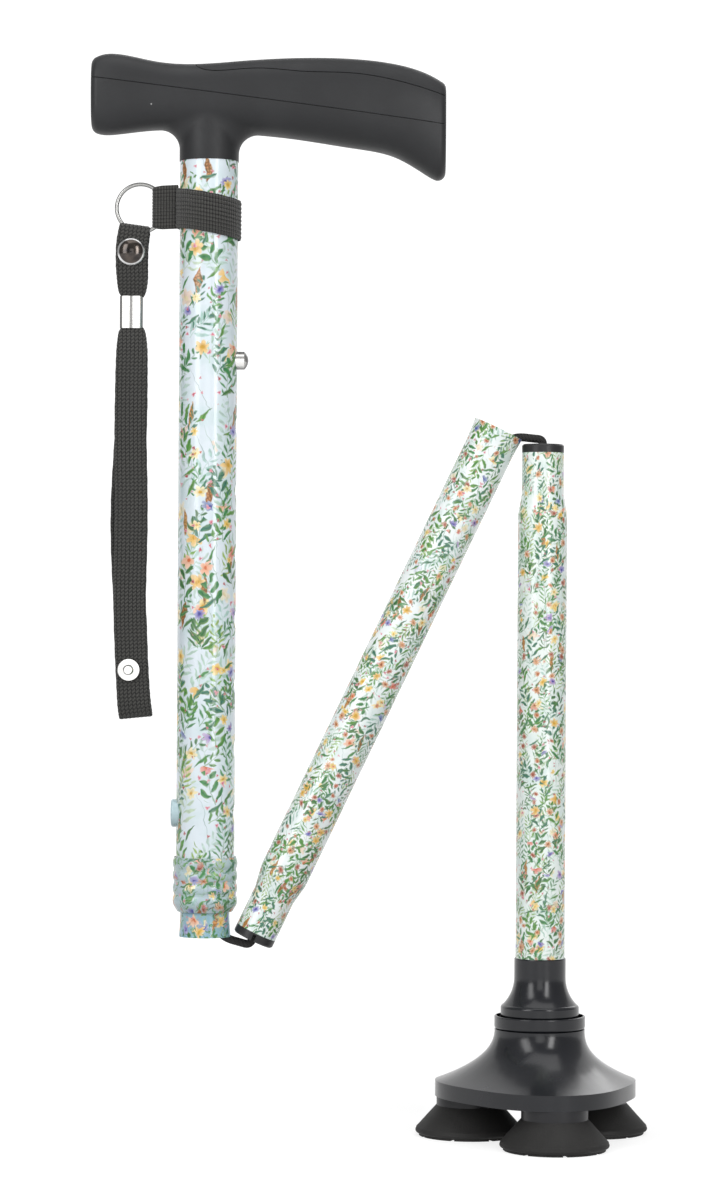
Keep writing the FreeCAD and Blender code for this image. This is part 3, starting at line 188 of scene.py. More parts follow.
def parts_of(tree, vector):
    node = tree.nodes.new("ShaderNodeSeparateXYZ")
    joined(tree, vector, node.inputs[0])
    return node.outputs


def vector_of(tree, x, y, z=0.0):
    node = tree.nodes.new("ShaderNodeCombineXYZ")
    for socket, value in zip(node.inputs, (x, y, z)):
        joined(tree, value, socket)
    return node.outputs[0]


def blended(tree, share, under, over):
    node = tree.nodes.new("ShaderNodeMix")
    node.data_type = "RGBA"
    joined(tree, share, node.inputs[0])
    joined(tree, under, node.inputs[6])
    joined(tree, over, node.inputs[7])
    return node.outputs[2]


def spread(tree, value, low, high, to_low=0.0, to_high=1.0):
    """A value's range moved to another one, held at both ends."""
    node = tree.nodes.new("ShaderNodeMapRange")
    for socket, given in zip(node.inputs, (value, low, high, to_low, to_high)):
        joined(tree, given, socket)
    return node.outputs[0]


def palette(tree, value, colours):
    """Picks one of several colours by a value from 0 to 1."""
    node = tree.nodes.new("ShaderNodeValToRGB")
    node.color_ramp.interpolation = "CONSTANT"
    stops = node.color_ramp.elements
    while len(stops) < len(colours):
        stops.new(0.5)
    for index, colour in enumerate(colours):
        stops[index].position = index / len(colours)
        stops[index].color = (*colour, 1)
    joined(tree, value, node.inputs[0])
    return node.outputs[0]


def clouds(tree, place, scale, detail=2.0, colour=False):
    node = tree.nodes.new("ShaderNodeTexNoise")
    joined(tree, place, node.inputs["Vector"])
    node.inputs["Scale"].default_value = scale
    node.inputs["Detail"].default_value = detail
    return node.outputs["Color" if colour else "Fac"]


def row_place(tree):
    """The place on the piece in its own frame, which stays with it when a joint moves."""
    return tree.nodes.new("ShaderNodeTexCoord").outputs["Object"]


def relief(tree, height, strength, depth):
    node = tree.nodes.new("ShaderNodeBump")
    node.inputs["Strength"].default_value = strength
    node.inputs["Distance"].default_value = depth
    joined(tree, height, node.inputs["Height"])
    return node.outputs[0]


def lobed(tree, angle, petals):
    """From 0 between two petals to 1 along a petal's middle."""
    half = sum_up(tree, "MULTIPLY", petals, 0.5)
    return sum_up(tree, "ABSOLUTE", sum_up(tree, "COSINE", sum_up(tree, "MULTIPLY", angle, half)))


def new_effect(name, takes, gives):
    """An empty shader node group with its sockets, its inner inputs and a way to set its outputs."""
    group = bpy.data.node_groups.new(name, "ShaderNodeTree")
    kinds = {"value": "NodeSocketFloat", "vector": "NodeSocketVector", "colour": "NodeSocketColor"}
    for label, kind, start in takes:
        socket = group.interface.new_socket(label, in_out="INPUT", socket_type=kinds[kind])
        socket.default_value = start
    for label, kind in gives:
        group.interface.new_socket(label, in_out="OUTPUT", socket_type=kinds[kind])
    inside = group.nodes.new("NodeGroupInput").outputs
    out = group.nodes.new("NodeGroupOutput").inputs
    return group, inside, out


def use(tree, group, **given):
    node = tree.nodes.new("ShaderNodeGroup")
    node.node_tree = group
    for label, value in given.items():
        joined(tree, value, node.inputs[label.replace("_", " ")])
    return node.outputs


# The effects that several materials share


def make_wrap():
    """The printed film's own plane, in millimetres: round the tube and along it, from its foot.
    The film meets itself at the back."""
    group, given, out = new_effect(
        "film_round_a_tube",
        [("Foot", "vector", (0, 0, 0)), ("Turn", "value", 0.0), ("Radius", "value", 9.5)],
        [("Film", "vector")],
    )
    place = vector_sum(group, "SUBTRACT", row_place(group), given["Foot"])
    turn = group.nodes.new("ShaderNodeVectorRotate")
    turn.rotation_type = "Y_AXIS"
    joined(group, place, turn.inputs["Vector"])
    joined(group, given["Turn"], turn.inputs["Angle"])
    x, y, z = parts_of(group, vector_sum(group, "SCALE", turn.outputs[0], 1000.0))
    angle = sum_up(group, "ARCTAN2", x, sum_up(group, "MULTIPLY", y, -1.0))
    joined(group, vector_of(group, sum_up(group, "MULTIPLY", angle, given["Radius"]), z), out["Film"])
    return group


def make_blossoms():
    """One sowing of open flowers: each has its own place, turn and size."""
    group, given, out = new_effect(
        "blossoms",
        [
            ("Film", "vector", (0, 0, 0)),
            ("Apart", "value", 9.0),
            ("Reach", "value", 2.0),
            ("Petals", "value", 5.0),
            ("Share", "value", 0.6),
            ("Soft", "value", 0.25),
        ],
        [("Petal", "value"), ("Heart", "value"), ("Pick", "value"), ("Rim", "value")],
    )
    scaled = vector_sum(group, "SCALE", given["Film"], sum_up(group, "DIVIDE", 1.0, given["Apart"]))
    cells = group.nodes.new("ShaderNodeTexVoronoi")
    cells.voronoi_dimensions = "2D"
    cells.inputs["Scale"].default_value = 1
    cells.inputs["Randomness"].default_value = 0.85
    joined(group, scaled, cells.inputs["Vector"])
    off = vector_sum(
        group, "SCALE", vector_sum(group, "SUBTRACT", scaled, cells.outputs["Position"]), given["Apart"]
    )
    chance, turn, pick = parts_of(group, cells.outputs["Color"])
    x, y, _ = parts_of(group, off)
    reach = vector_sum(group, "LENGTH", off)
    angle = sum_up(group, "MULTIPLY_ADD", turn, 6.28, sum_up(group, "ARCTAN2", y, x))
    lobes = lobed(group, angle, given["Petals"])
    edge = sum_up(group, "MULTIPLY_ADD", lobes, 0.45, 0.55)
    grown = sum_up(group, "MULTIPLY", given["Reach"], sum_up(group, "MULTIPLY_ADD", pick, 0.5, 0.6))
    edge = sum_up(group, "MULTIPLY", edge, grown)
    there = sum_up(group, "LESS_THAN", chance, given["Share"])
    petal = spread(group, sum_up(group, "SUBTRACT", edge, reach), 0.0, given["Soft"])
    joined(group, sum_up(group, "MULTIPLY", petal, there), out["Petal"])
    heart = spread(group, sum_up(group, "SUBTRACT", sum_up(group, "MULTIPLY", grown, 0.3), reach), 0.0, given["Soft"])
    joined(group, sum_up(group, "MULTIPLY", heart, there), out["Heart"])
    joined(group, pick, out["Pick"])
    joined(group, spread(group, sum_up(group, "DIVIDE", reach, grown), 0.2, 1.0), out["Rim"])
    return group


def make_blades():
    """One sowing of leaves, stems or grasses: strokes that lean about one way, each a little bent."""
    group, given, out = new_effect(
        "blades",
        [
            ("Film", "vector", (0, 0, 0)),
            ("Lean", "value", 0.0),
            ("Stray", "value", 0.6),
            ("Across", "value", 4.0),
            ("Along", "value", 12.0),
            ("Half length", "value", 5.0),
            ("Half width", "value", 0.4),
            ("Bend", "value", 1.0),
            ("Share", "value", 0.8),
            ("Soft", "value", 0.15),
        ],
        [("Blade", "value"), ("Pick", "value"), ("Tip", "value"), ("Rib", "value")],
    )
    turn = group.nodes.new("ShaderNodeVectorRotate")
    turn.rotation_type = "Z_AXIS"
    joined(group, given["Film"], turn.inputs["Vector"])
    joined(group, given["Lean"], turn.inputs["Angle"])
    size = vector_of(group, given["Across"], given["Along"], 1.0)
    scaled = vector_sum(group, "DIVIDE", turn.outputs[0], size)
    cells = group.nodes.new("ShaderNodeTexVoronoi")
    cells.voronoi_dimensions = "2D"
    cells.inputs["Scale"].default_value = 1
    cells.inputs["Randomness"].default_value = 0.9
    joined(group, scaled, cells.inputs["Vector"])
    off = vector_sum(group, "MULTIPLY", vector_sum(group, "SUBTRACT", scaled, cells.outputs["Position"]), size)
    chance, stray, pick = parts_of(group, cells.outputs["Color"])
    swing = sum_up(group, "MULTIPLY", sum_up(group, "SUBTRACT", stray, 0.5), given["Stray"])
    own = group.nodes.new("ShaderNodeVectorRotate")
    own.rotation_type = "Z_AXIS"
    joined(group, off, own.inputs["Vector"])
    joined(group, swing, own.inputs["Angle"])
    x, y, _ = parts_of(group, own.outputs[0])
    run = sum_up(group, "DIVIDE", y, given["Half length"])
    bow = sum_up(group, "MULTIPLY", sum_up(group, "MULTIPLY", run, run), given["Bend"])
    bow = sum_up(group, "MULTIPLY", bow, sum_up(group, "SUBTRACT", pick, 0.5))
    side = sum_up(group, "ABSOLUTE", sum_up(group, "ADD", x, bow))
    taper = sum_up(group, "SUBTRACT", 1.0, sum_up(group, "ABSOLUTE", run), clamp=True)
    taper = sum_up(group, "POWER", taper, 0.6)
    wide = sum_up(group, "MULTIPLY", given["Half width"], taper)
    blade = spread(group, sum_up(group, "SUBTRACT", wide, side), 0.0, given["Soft"])
    there = sum_up(group, "LESS_THAN", chance, given["Share"])
    joined(group, sum_up(group, "MULTIPLY", blade, there), out["Blade"])
    joined(group, pick, out["Pick"])
    joined(group, taper, out["Tip"])
    joined(group, spread(group, side, 0.05, 0.2), out["Rib"])
    return group


def make_twigs():
    """One sowing of flowering twigs: a bent stem, leaves on both sides that shorten towards its tip,
    and an open flower on the tip."""
    group, given, out = new_effect(
        "twigs",
        [
            ("Film", "vector", (0, 0, 0)),
            ("Lean", "value", 0.0),
            ("Stray", "value", 0.6),
            ("Across", "value", 8.0),
            ("Along", "value", 16.0),
            ("Half length", "value", 6.0),
            ("Bend", "value", 2.0),
            ("Leaf", "value", 3.5),
            ("Gap", "value", 2.4),
            ("Half width", "value", 0.5),
            ("Reach", "value", 2.2),
            ("Petals", "value", 5.0),
            ("Share", "value", 0.8),
            ("Soft", "value", 0.15),
        ],
        [("Green", "value"), ("Pick", "value"), ("Tone", "value"), ("Bloom", "value"), ("Tint", "value"),
         ("Heart", "value"), ("Rim", "value")],
    )
    turn = group.nodes.new("ShaderNodeVectorRotate")
    turn.rotation_type = "Z_AXIS"
    joined(group, given["Film"], turn.inputs["Vector"])
    joined(group, given["Lean"], turn.inputs["Angle"])
    size = vector_of(group, given["Across"], given["Along"], 1.0)
    scaled = vector_sum(group, "DIVIDE", turn.outputs[0], size)
    cells = group.nodes.new("ShaderNodeTexVoronoi")
    cells.voronoi_dimensions = "2D"
    cells.inputs["Scale"].default_value = 1
    cells.inputs["Randomness"].default_value = 0.75
    joined(group, scaled, cells.inputs["Vector"])
    off = vector_sum(group, "MULTIPLY", vector_sum(group, "SUBTRACT", scaled, cells.outputs["Position"]), size)
    chance, stray, pick = parts_of(group, cells.outputs["Color"])
    swing = sum_up(group, "MULTIPLY", sum_up(group, "SUBTRACT", stray, 0.5), given["Stray"])
    own = group.nodes.new("ShaderNodeVectorRotate")
    own.rotation_type = "Z_AXIS"
    joined(group, off, own.inputs["Vector"])
    joined(group, swing, own.inputs["Angle"])
    x, y, _ = parts_of(group, own.outputs[0])
    run = sum_up(group, "DIVIDE", y, given["Half length"])
    bow = sum_up(group, "MULTIPLY", sum_up(group, "MULTIPLY", run, run), given["Bend"])
    x = sum_up(group, "ADD", x, sum_up(group, "MULTIPLY", bow, sum_up(group, "SUBTRACT", pick, 0.5)))
    side = sum_up(group, "ABSOLUTE", x)
    there = sum_up(group, "LESS_THAN", chance, given["Share"])

    climb = sum_up(group, "SUBTRACT", y, sum_up(group, "MULTIPLY", side, 0.95))
    height = sum_up(group, "DIVIDE", climb, given["Half length"])
    phase = sum_up(group, "ADD", sum_up(group, "DIVIDE", climb, given["Gap"]),
                   sum_up(group, "MULTIPLY", sum_up(group, "LESS_THAN", x, 0.0), 0.45))
    beside = sum_up(group, "ABSOLUTE", sum_up(group, "SUBTRACT", sum_up(group, "FRACT", phase), 0.5))
    beside = sum_up(group, "MULTIPLY", sum_up(group, "MULTIPLY", beside, given["Gap"]), 0.72)
    leaf = sum_up(group, "MULTIPLY", given["Leaf"], sum_up(group, "MULTIPLY_ADD", height, -0.3, 0.65))
    reach = sum_up(group, "DIVIDE", side, sum_up(group, "MAXIMUM", leaf, 0.1), clamp=True)
    full = sum_up(group, "MULTIPLY", reach, sum_up(group, "SUBTRACT", 1.0, reach))
    full = sum_up(group, "MULTIPLY", sum_up(group, "MULTIPLY", full, 4.0), given["Half width"])
    leaves = spread(group, sum_up(group, "SUBTRACT", full, beside), 0.0, given["Soft"])
    leaves = sum_up(group, "MULTIPLY", leaves, sum_up(group, "LESS_THAN", sum_up(group, "ABSOLUTE", height), 1.0))
    thin = sum_up(group, "MULTIPLY_ADD", run, -0.07, 0.2)
    stem = spread(group, sum_up(group, "SUBTRACT", thin, side), 0.0, given["Soft"])
    stem = sum_up(group, "MULTIPLY", stem, sum_up(group, "LESS_THAN", sum_up(group, "ABSOLUTE", run), 1.0))
    joined(group, sum_up(group, "MULTIPLY", sum_up(group, "MAXIMUM", stem, leaves), there), out["Green"])
    joined(group, pick, out["Pick"])
    joined(group, sum_up(group, "DIVIDE", beside, given["Half width"], clamp=True), out["Tone"])

    up = sum_up(group, "SUBTRACT", y, given["Half length"])
    far = sum_up(group, "SQRT", sum_up(group, "MULTIPLY_ADD", up, up, sum_up(group, "MULTIPLY", x, x)))
    angle = sum_up(group, "MULTIPLY_ADD", chance, 20.0, sum_up(group, "ARCTAN2", up, x))
    lobes = lobed(group, angle, given["Petals"])
    grown = sum_up(group, "MULTIPLY", given["Reach"], sum_up(group, "MULTIPLY_ADD", stray, 0.5, 0.7))
    edge = sum_up(group, "MULTIPLY", sum_up(group, "MULTIPLY_ADD", lobes, 0.42, 0.58), grown)
    bloom = spread(group, sum_up(group, "SUBTRACT", edge, far), 0.0, given["Soft"])
    joined(group, sum_up(group, "MULTIPLY", bloom, there), out["Bloom"])
    joined(group, stray, out["Tint"])
    heart = sum_up(group, "SUBTRACT", sum_up(group, "MULTIPLY", grown, 0.3), far)
    joined(group, spread(group, heart, 0.0, given["Soft"]), out["Heart"])
    joined(group, spread(group, sum_up(group, "DIVIDE", far, grown), 0.2, 1.0), out["Rim"])
    return group


def make_meadow(blossoms, blades, twigs):
    """A meadow in watercolour on pale film: faint twigs behind, then stems, leafy twigs with open
    flowers, dotted spikes, broad leaves, and small berries in front."""
    group, given, out = new_effect(
        "meadow_print",
        [
            ("Film", "vector", (0, 0, 0)),
            ("Ground", "colour", (0.80, 0.88, 0.92, 1)),
            ("Smear", "value", 0.0),
            ("Leafy", "value", 0.7),
            ("Yellow", "value", 0.5),
            ("Coral", "value", 0.5),
            ("Rust", "value", 0.2),
            ("Violet", "value", 0.5),
            ("Soft", "value", 0.2),
        ],
        [("Print", "colour")],
    )
    waver = vector_sum(group, "SUBTRACT", clouds(group, given["Film"], 0.22, 2.0, colour=True), (0.5, 0.5, 0.5))
    film = vector_sum(group, "ADD", given["Film"], vector_sum(group, "SCALE", waver, 3.0))
    wide = vector_sum(group, "SUBTRACT", clouds(group, given["Film"], 0.5, 1.0, colour=True), (0.5, 0.5, 0.5))
    film = vector_sum(group, "ADD", film, vector_sum(group, "SCALE", wide, given["Smear"]))
    soft, leafy = given["Soft"], given["Leafy"]
    brush = spread(group, clouds(group, film, 0.9, 3.0), 0.35, 0.65)

    wash = spread(group, clouds(group, film, 0.10, 3.0), 0.45, 0.72)
    colour = blended(group, sum_up(group, "MULTIPLY", wash, 0.4), given["Ground"], (0.42, 0.64, 0.60, 1))

    def painted(value, colours, light):
        """One of the colours, uneven as a brush leaves it and lighter towards the leaf's edge."""
        tint = palette(group, value, colours)
        pale = blended(group, 0.4, tint, (0.70, 0.85, 0.35, 1))
        dark = blended(group, 0.5, tint, (0.0, 0.03, 0.015, 1))
        return blended(group, sum_up(group, "MULTIPLY", light, 0.6), blended(group, brush, dark, tint), pale)

    def moved(shift):
        return vector_sum(group, "ADD", film, shift)

    def grow(under, shift, lean, stray, cell, half_length, leaf, gap, half_width, greens, cover, reach, petals, share,
             sown, flowers, heart, flower_cover):
        plant = use(
            group, twigs, Film=moved(shift), Lean=lean, Stray=stray, Across=cell[0], Along=cell[1],
            Half_length=half_length, Bend=3.0, Leaf=leaf, Gap=gap, Half_width=half_width, Reach=reach,
            Petals=petals, Share=share, Soft=soft,
        )
        under = blended(group, sum_up(group, "MULTIPLY", plant["Green"], cover), under,
                        painted(plant["Pick"], greens, plant["Tone"]))
        tint = palette(group, plant["Tint"], flowers)
        shaded = blended(group, brush, tint, blended(group, 0.35, tint, (0.3, 0.05, 0.0, 1)))
        tint = blended(group, plant["Rim"], shaded, blended(group, 0.45, tint, (0.97, 0.93, 0.85, 1)))
        tint = blended(group, plant["Heart"], tint, heart)
        open_now = sum_up(group, "LESS_THAN", plant["Pick"], sown)
        open_now = sum_up(group, "MULTIPLY", sum_up(group, "MULTIPLY", open_now, plant["Bloom"]), flower_cover)
        return blended(group, open_now, under, tint)

    def strokes(under, shift, lean, stray, across, along, half_length, half_width, bend, share, colours, cover,
                dots=False):
        blade = use(
            group, blades, Film=moved(shift), Lean=lean, Stray=stray, Across=across, Along=along,
            Half_length=half_length, Half_width=half_width, Bend=bend, Share=share, Soft=soft,
        )
        tint = painted(blade["Pick"], colours, 0.0 if dots else sum_up(group, "MULTIPLY", blade["Rib"], 0.6))
        if dots:
            bead = group.nodes.new("ShaderNodeTexVoronoi")
            bead.voronoi_dimensions = "2D"
            bead.inputs["Scale"].default_value = 1.3
            joined(group, film, bead.inputs["Vector"])
            lit = spread(group, bead.outputs["Distance"], 0.5, 0.15)
            shade = blended(group, 0.5, tint, (0.12, 0.10, 0.0, 1))
            tint = blended(group, lit, shade, blended(group, 0.3, tint, (0.95, 0.62, 0.2, 1)))
        return blended(group, sum_up(group, "MULTIPLY", blade["Blade"], cover), under, tint)

    def flowers(under, shift, apart, reach, petals, sown, colours, heart, cover=1.0):
        flower = use(
            group, blossoms, Film=moved(shift), Apart=apart, Reach=reach, Petals=petals, Share=sown, Soft=soft
        )
        tint = palette(group, flower["Pick"], colours)
        pale = blended(group, 0.5, tint, (0.95, 0.90, 0.80, 1))
        shaded = blended(group, brush, blended(group, 0.4, tint, (0.1, 0.02, 0.05, 1)), tint)
        tint = blended(group, flower["Rim"], shaded, pale)
        tint = blended(group, flower["Heart"], tint, heart)
        return blended(group, sum_up(group, "MULTIPLY", flower["Petal"], cover), under, tint)

    haze = [(0.27, 0.55, 0.34), (0.22, 0.54, 0.44), (0.45, 0.62, 0.26), (0.40, 0.62, 0.50)]
    fresh = [(0.07, 0.32, 0.03), (0.18, 0.42, 0.04), (0.03, 0.26, 0.08), (0.30, 0.48, 0.07)]
    deep = [(0.01, 0.15, 0.03), (0.015, 0.22, 0.06), (0.05, 0.26, 0.02), (0.01, 0.17, 0.12)]
    yellows = [(0.90, 0.62, 0.10), (0.92, 0.72, 0.24), (0.92, 0.80, 0.40), (0.86, 0.52, 0.07)]
    corals = [(0.82, 0.27, 0.12), (0.88, 0.40, 0.22), (0.75, 0.18, 0.13), (0.88, 0.48, 0.30)]
    violets = [(0.12, 0.14, 0.52), (0.24, 0.28, 0.66), (0.08, 0.20, 0.50), (0.36, 0.26, 0.60)]
    rusts = [(0.52, 0.12, 0.025), (0.66, 0.22, 0.06), (0.42, 0.08, 0.02), (0.70, 0.30, 0.10)]
    reds = [(0.55, 0.03, 0.05), (0.70, 0.10, 0.18), (0.42, 0.02, 0.04), (0.78, 0.22, 0.32)]
    pales = [(0.92, 0.80, 0.42), (0.94, 0.84, 0.55), (0.90, 0.62, 0.42), (0.60, 0.66, 0.86)]

    colour = grow(colour, (3, 7, 0), 0.3, 1.2, (8.5, 19.0), 8.0, 4.4, 2.5, 0.62, haze, 0.6,
                  2.9, 6.0, 0.95, 0.6, pales, (0.80, 0.60, 0.25, 1), 0.7)
    colour = strokes(colour, (5, 13, 0), -0.2, 0.6, 3.4, 19.0, 11.0, 0.2, 4.2, leafy, deep, 0.9)
    colour = grow(colour, (1, 5, 0), 0.12, 0.8, (7.0, 15.5), 6.4, 3.6, 2.1, 0.52, fresh, 0.95,
                  2.9, 6.0, leafy, given["Yellow"], yellows, (0.66, 0.34, 0.03, 1), 1.0)
    few = sum_up(group, "MULTIPLY", given["Coral"], 0.6)
    colour = strokes(colour, (6, 6, 0), 0.05, 0.5, 7.5, 21.0, 4.4, 1.25, 0.8, few, rusts, 1.0, dots=True)
    colour = grow(colour, (12, 9, 0), -0.25, 0.9, (8.0, 14.5), 6.0, 4.6, 3.6, 0.98, deep, 1.0,
                  2.6, 5.0, leafy, given["Coral"], corals, (0.60, 0.14, 0.04, 1), 1.0)
    fewer = sum_up(group, "MULTIPLY", leafy, 0.75)
    colour = strokes(colour, (8, 3, 0), 0.8, 1.0, 4.6, 8.0, 3.4, 0.8, 1.6, fewer, deep, 1.0)
    colour = grow(colour, (17, 4, 0), 0.45, 0.9, (7.5, 13.0), 5.2, 3.0, 2.4, 0.6, deep, 0.95,
                  2.3, 7.0, leafy, given["Violet"], violets, (0.05, 0.05, 0.28, 1), 1.0)
    colour = flowers(colour, (14, 1, 0), 6.6, 2.0, 9.0, given["Rust"], rusts, (0.24, 0.05, 0.01, 1))
    some = sum_up(group, "MULTIPLY", given["Yellow"], 0.6)
    colour = flowers(colour, (4, 4, 0), 9.0, 2.4, 6.0, some, yellows, (0.62, 0.34, 0.03, 1))
    colour = flowers(colour, (7, 12, 0), 2.6, 0.85, 3.0, 0.24, reds, (0.45, 0.03, 0.05, 1))
    joined(group, colour, out["Print"])
    return group


def make_moulding():
    """The fine spark-eroded grain of a plastic moulding, with faint rubbed patches."""
    group, given, out = new_effect(
        "moulded_grain",
        [("Place", "vector", (0, 0, 0)), ("Fine", "value", 2600.0), ("Patch", "value", 60.0)],
        [("Grain", "value"), ("Rubbed", "value")],
    )
    grain = group.nodes.new("ShaderNodeTexNoise")
    joined(group, given["Place"], grain.inputs["Vector"])
    joined(group, given["Fine"], grain.inputs["Scale"])
    grain.inputs["Detail"].default_value = 3
    joined(group, grain.outputs["Fac"], out["Grain"])
    patch = group.nodes.new("ShaderNodeTexNoise")
    joined(group, given["Place"], patch.inputs["Vector"])
    joined(group, given["Patch"], patch.inputs["Scale"])
    patch.inputs["Detail"].default_value = 5
    joined(group, spread(group, patch.outputs["Fac"], 0.4, 0.7), out["Rubbed"])
    return group


def make_dust():
    """Sparse specks of dust and lint."""
    group, given, out = new_effect(
        "specks", [("Place", "vector", (0, 0, 0)), ("Apart", "value", 0.006)], [("Speck", "value")]
    )
    scaled = vector_sum(group, "SCALE", given["Place"], sum_up(group, "DIVIDE", 1.0, given["Apart"]))
    cells = group.nodes.new("ShaderNodeTexVoronoi")
    cells.inputs["Scale"].default_value = 1
    joined(group, scaled, cells.inputs["Vector"])
    chance, reach, _ = parts_of(group, cells.outputs["Color"])
    near = sum_up(group, "LESS_THAN", cells.outputs["Distance"], sum_up(group, "MULTIPLY", reach, 0.03))
    joined(group, sum_up(group, "MULTIPLY", near, sum_up(group, "LESS_THAN", chance, 0.35)), out["Speck"])
    return group


def make_knit():
    """Knitted webbing on the strap's own plane: columns of slanted stitches with a groove between. Its Shade output
    is painted shade for the colour: dark in the grooves, with a painted highlight on the stitches.
    """
    group, given, out = new_effect(
        "knitted_webbing",
        [
            ("Web", "vector", (0, 0, 0)),
            ("Column", "value", 1.5),
            ("Row", "value", 1.45),
            ("Slant", "value", 0.45),
        ],
        [("Stitch", "value"), ("Shade", "value")],
    )
    x, y, _ = parts_of(group, given["Web"])
    column = sum_up(group, "DIVIDE", x, given["Column"])
    side = sum_up(group, "MULTIPLY", sum_up(group, "PINGPONG", column, 0.5), 2.0)
    phase = sum_up(group, "MULTIPLY_ADD", side, given["Slant"], sum_up(group, "DIVIDE", y, given["Row"]))
    row = sum_up(group, "ABSOLUTE", sum_up(group, "SINE", sum_up(group, "MULTIPLY", phase, math.pi)))
    groove = spread(group, sum_up(group, "PINGPONG", sum_up(group, "ADD", column, 0.25), 0.5), 0.0, 0.14)
    stitch = sum_up(group, "MULTIPLY", sum_up(group, "POWER", row, 0.7), groove)
    yarn = clouds(group, given["Web"], 3.5, 3.0)
    joined(group, sum_up(group, "MULTIPLY_ADD", yarn, 0.35, stitch), out["Stitch"])
    # Shade: painted shade in the grooves and a painted highlight on the stitch tops, with the yarn's own uneven tone
    joined(group, sum_up(group, "MULTIPLY", stitch, spread(group, yarn, 0.2, 0.8, 0.6, 1.0)), out["Shade"])
    return group


# The materials


def new_material(name):
    material = bpy.data.materials.new(name)
    material.use_nodes = True
    return material, material.node_tree, material.node_tree.nodes["Principled BSDF"].inputs


EFFECTS = {}


def make_effects():
    EFFECTS["wrap"] = make_wrap()
    EFFECTS["meadow"] = make_meadow(make_blossoms(), make_blades(), make_twigs())
    EFFECTS["moulding"] = make_moulding()
    EFFECTS["dust"] = make_dust()
    EFFECTS["knit"] = make_knit()


def printed_film(name, foot, turn, radius, finer, shift, ground, **sown):
    """Glossy lacquer over the printed film of one tube. finer is how much smaller its print is."""
    material, tree, surface = new_material(name)
    film = use(tree, EFFECTS["wrap"], Foot=tuple(foot), Turn=turn, Radius=radius)["Film"]
    film = vector_sum(tree, "ADD", vector_sum(tree, "SCALE", film, finer), shift)
    colour = use(tree, EFFECTS["meadow"], Film=film, Ground=ground, **sown)["Print"]
    joined(tree, colour, surface["Base Color"])
    patch = clouds(tree, row_place(tree), 45.0, 3.0)
    joined(tree, spread(tree, patch, 0.3, 0.7, 0.30, 0.42), surface["Roughness"])
    surface["Coat Weight"].default_value = 0.5
    surface["Coat Roughness"].default_value = 0.09
    joined(tree, relief(tree, clouds(tree, row_place(tree), 420.0), 0.06, 0.0002), surface["Normal"])
    return material


def moulded(name, colour, rough, rubbed_rough, grain, depth, fine=2600.0, coat=0.0, dusty=0.0):
    """Moulded plastic or rubber."""
    material, tree, surface = new_material(name)
    place = row_place(tree)
    mould = use(tree, EFFECTS["moulding"], Place=place, Fine=fine)
    base = blended(tree, mould["Rubbed"], (*colour, 1), (*[part * 1.25 for part in colour], 1))
    if dusty:
        speck = use(tree, EFFECTS["dust"], Place=place, Apart=dusty)["Speck"]
        base = blended(tree, speck, base, (0.30, 0.30, 0.30, 1))
    joined(tree, base, surface["Base Color"])
    joined(tree, spread(tree, mould["Rubbed"], 0.0, 1.0, rough, rubbed_rough), surface["Roughness"])
    joined(tree, relief(tree, mould["Grain"], grain, depth), surface["Normal"])
    surface["Specular IOR Level"].default_value = 0.42 if coat else 0.34
    surface["Coat Weight"].default_value = coat
    surface["Coat Roughness"].default_value = 0.12
    return material


def plated(name, colour, rough, brushed=0.1):
    """Bright plated or drawn metal with fine marks. Its colour has painted shade, a painted dark reflection that
    darkens it where it turns away from the eye.
    """
    material, tree, surface = new_material(name)
    place = row_place(tree)
    marks = clouds(tree, vector_sum(tree, "MULTIPLY", place, (1.0, 1.0, 9.0)), 900.0, 3.0)
    surface["Metallic"].default_value = 1.0
    tone = spread(tree, marks, 0.3, 0.7)
    # Painted shade: the colour goes dark towards the outline as seen from the eye, a painted dark reflection
    weight = tree.nodes.new("ShaderNodeLayerWeight")
    weight.inputs["Blend"].default_value = 0.5
    painted_outline_shade = spread(tree, weight.outputs["Facing"], 0.12, 0.62)
    base = blended(tree, tone, (*colour, 1), (*[part * 0.86 for part in colour], 1))
    joined(tree, blended(tree, painted_outline_shade, base, (*[part * 0.11 for part in colour], 1)), surface["Base Color"])
    joined(tree, spread(tree, marks, 0.3, 0.7, rough, rough + 0.10), surface["Roughness"])
    joined(tree, relief(tree, marks, brushed, 0.00005), surface["Normal"])
    return material


def webbing(name, column, row, slant, swap=False):
    """Black knitted elastic; its plane comes with the piece, in millimetres. Its colour carries painted shade from
    the knit: near black in the grooves, with a painted highlight on the stitches.
    """
    material, tree, surface = new_material(name)
    plane = tree.nodes.new("ShaderNodeUVMap")
    plane.uv_map = "web"
    web = vector_sum(tree, "SCALE", plane.outputs[0], 1000.0)
    if swap:
        x, y, _ = parts_of(tree, web)
        web = vector_of(tree, y, x)
    knit = use(tree, EFFECTS["knit"], Web=web, Column=column, Row=row, Slant=slant)
    # Painted shade and painted highlight: near black in the grooves, grey on the stitch tops
    yarn = blended(tree, knit["Shade"], (0.003, 0.003, 0.0035, 1), (0.085, 0.084, 0.078, 1))
    joined(tree, yarn, surface["Base Color"])
    surface["Roughness"].default_value = 0.86
    surface["Sheen Weight"].default_value = 0.25
    surface["Sheen Roughness"].default_value = 0.5
    surface["Specular IOR Level"].default_value = 0.25
    joined(tree, relief(tree, knit["Stitch"], 0.9, 0.00035), surface["Normal"])
    return material


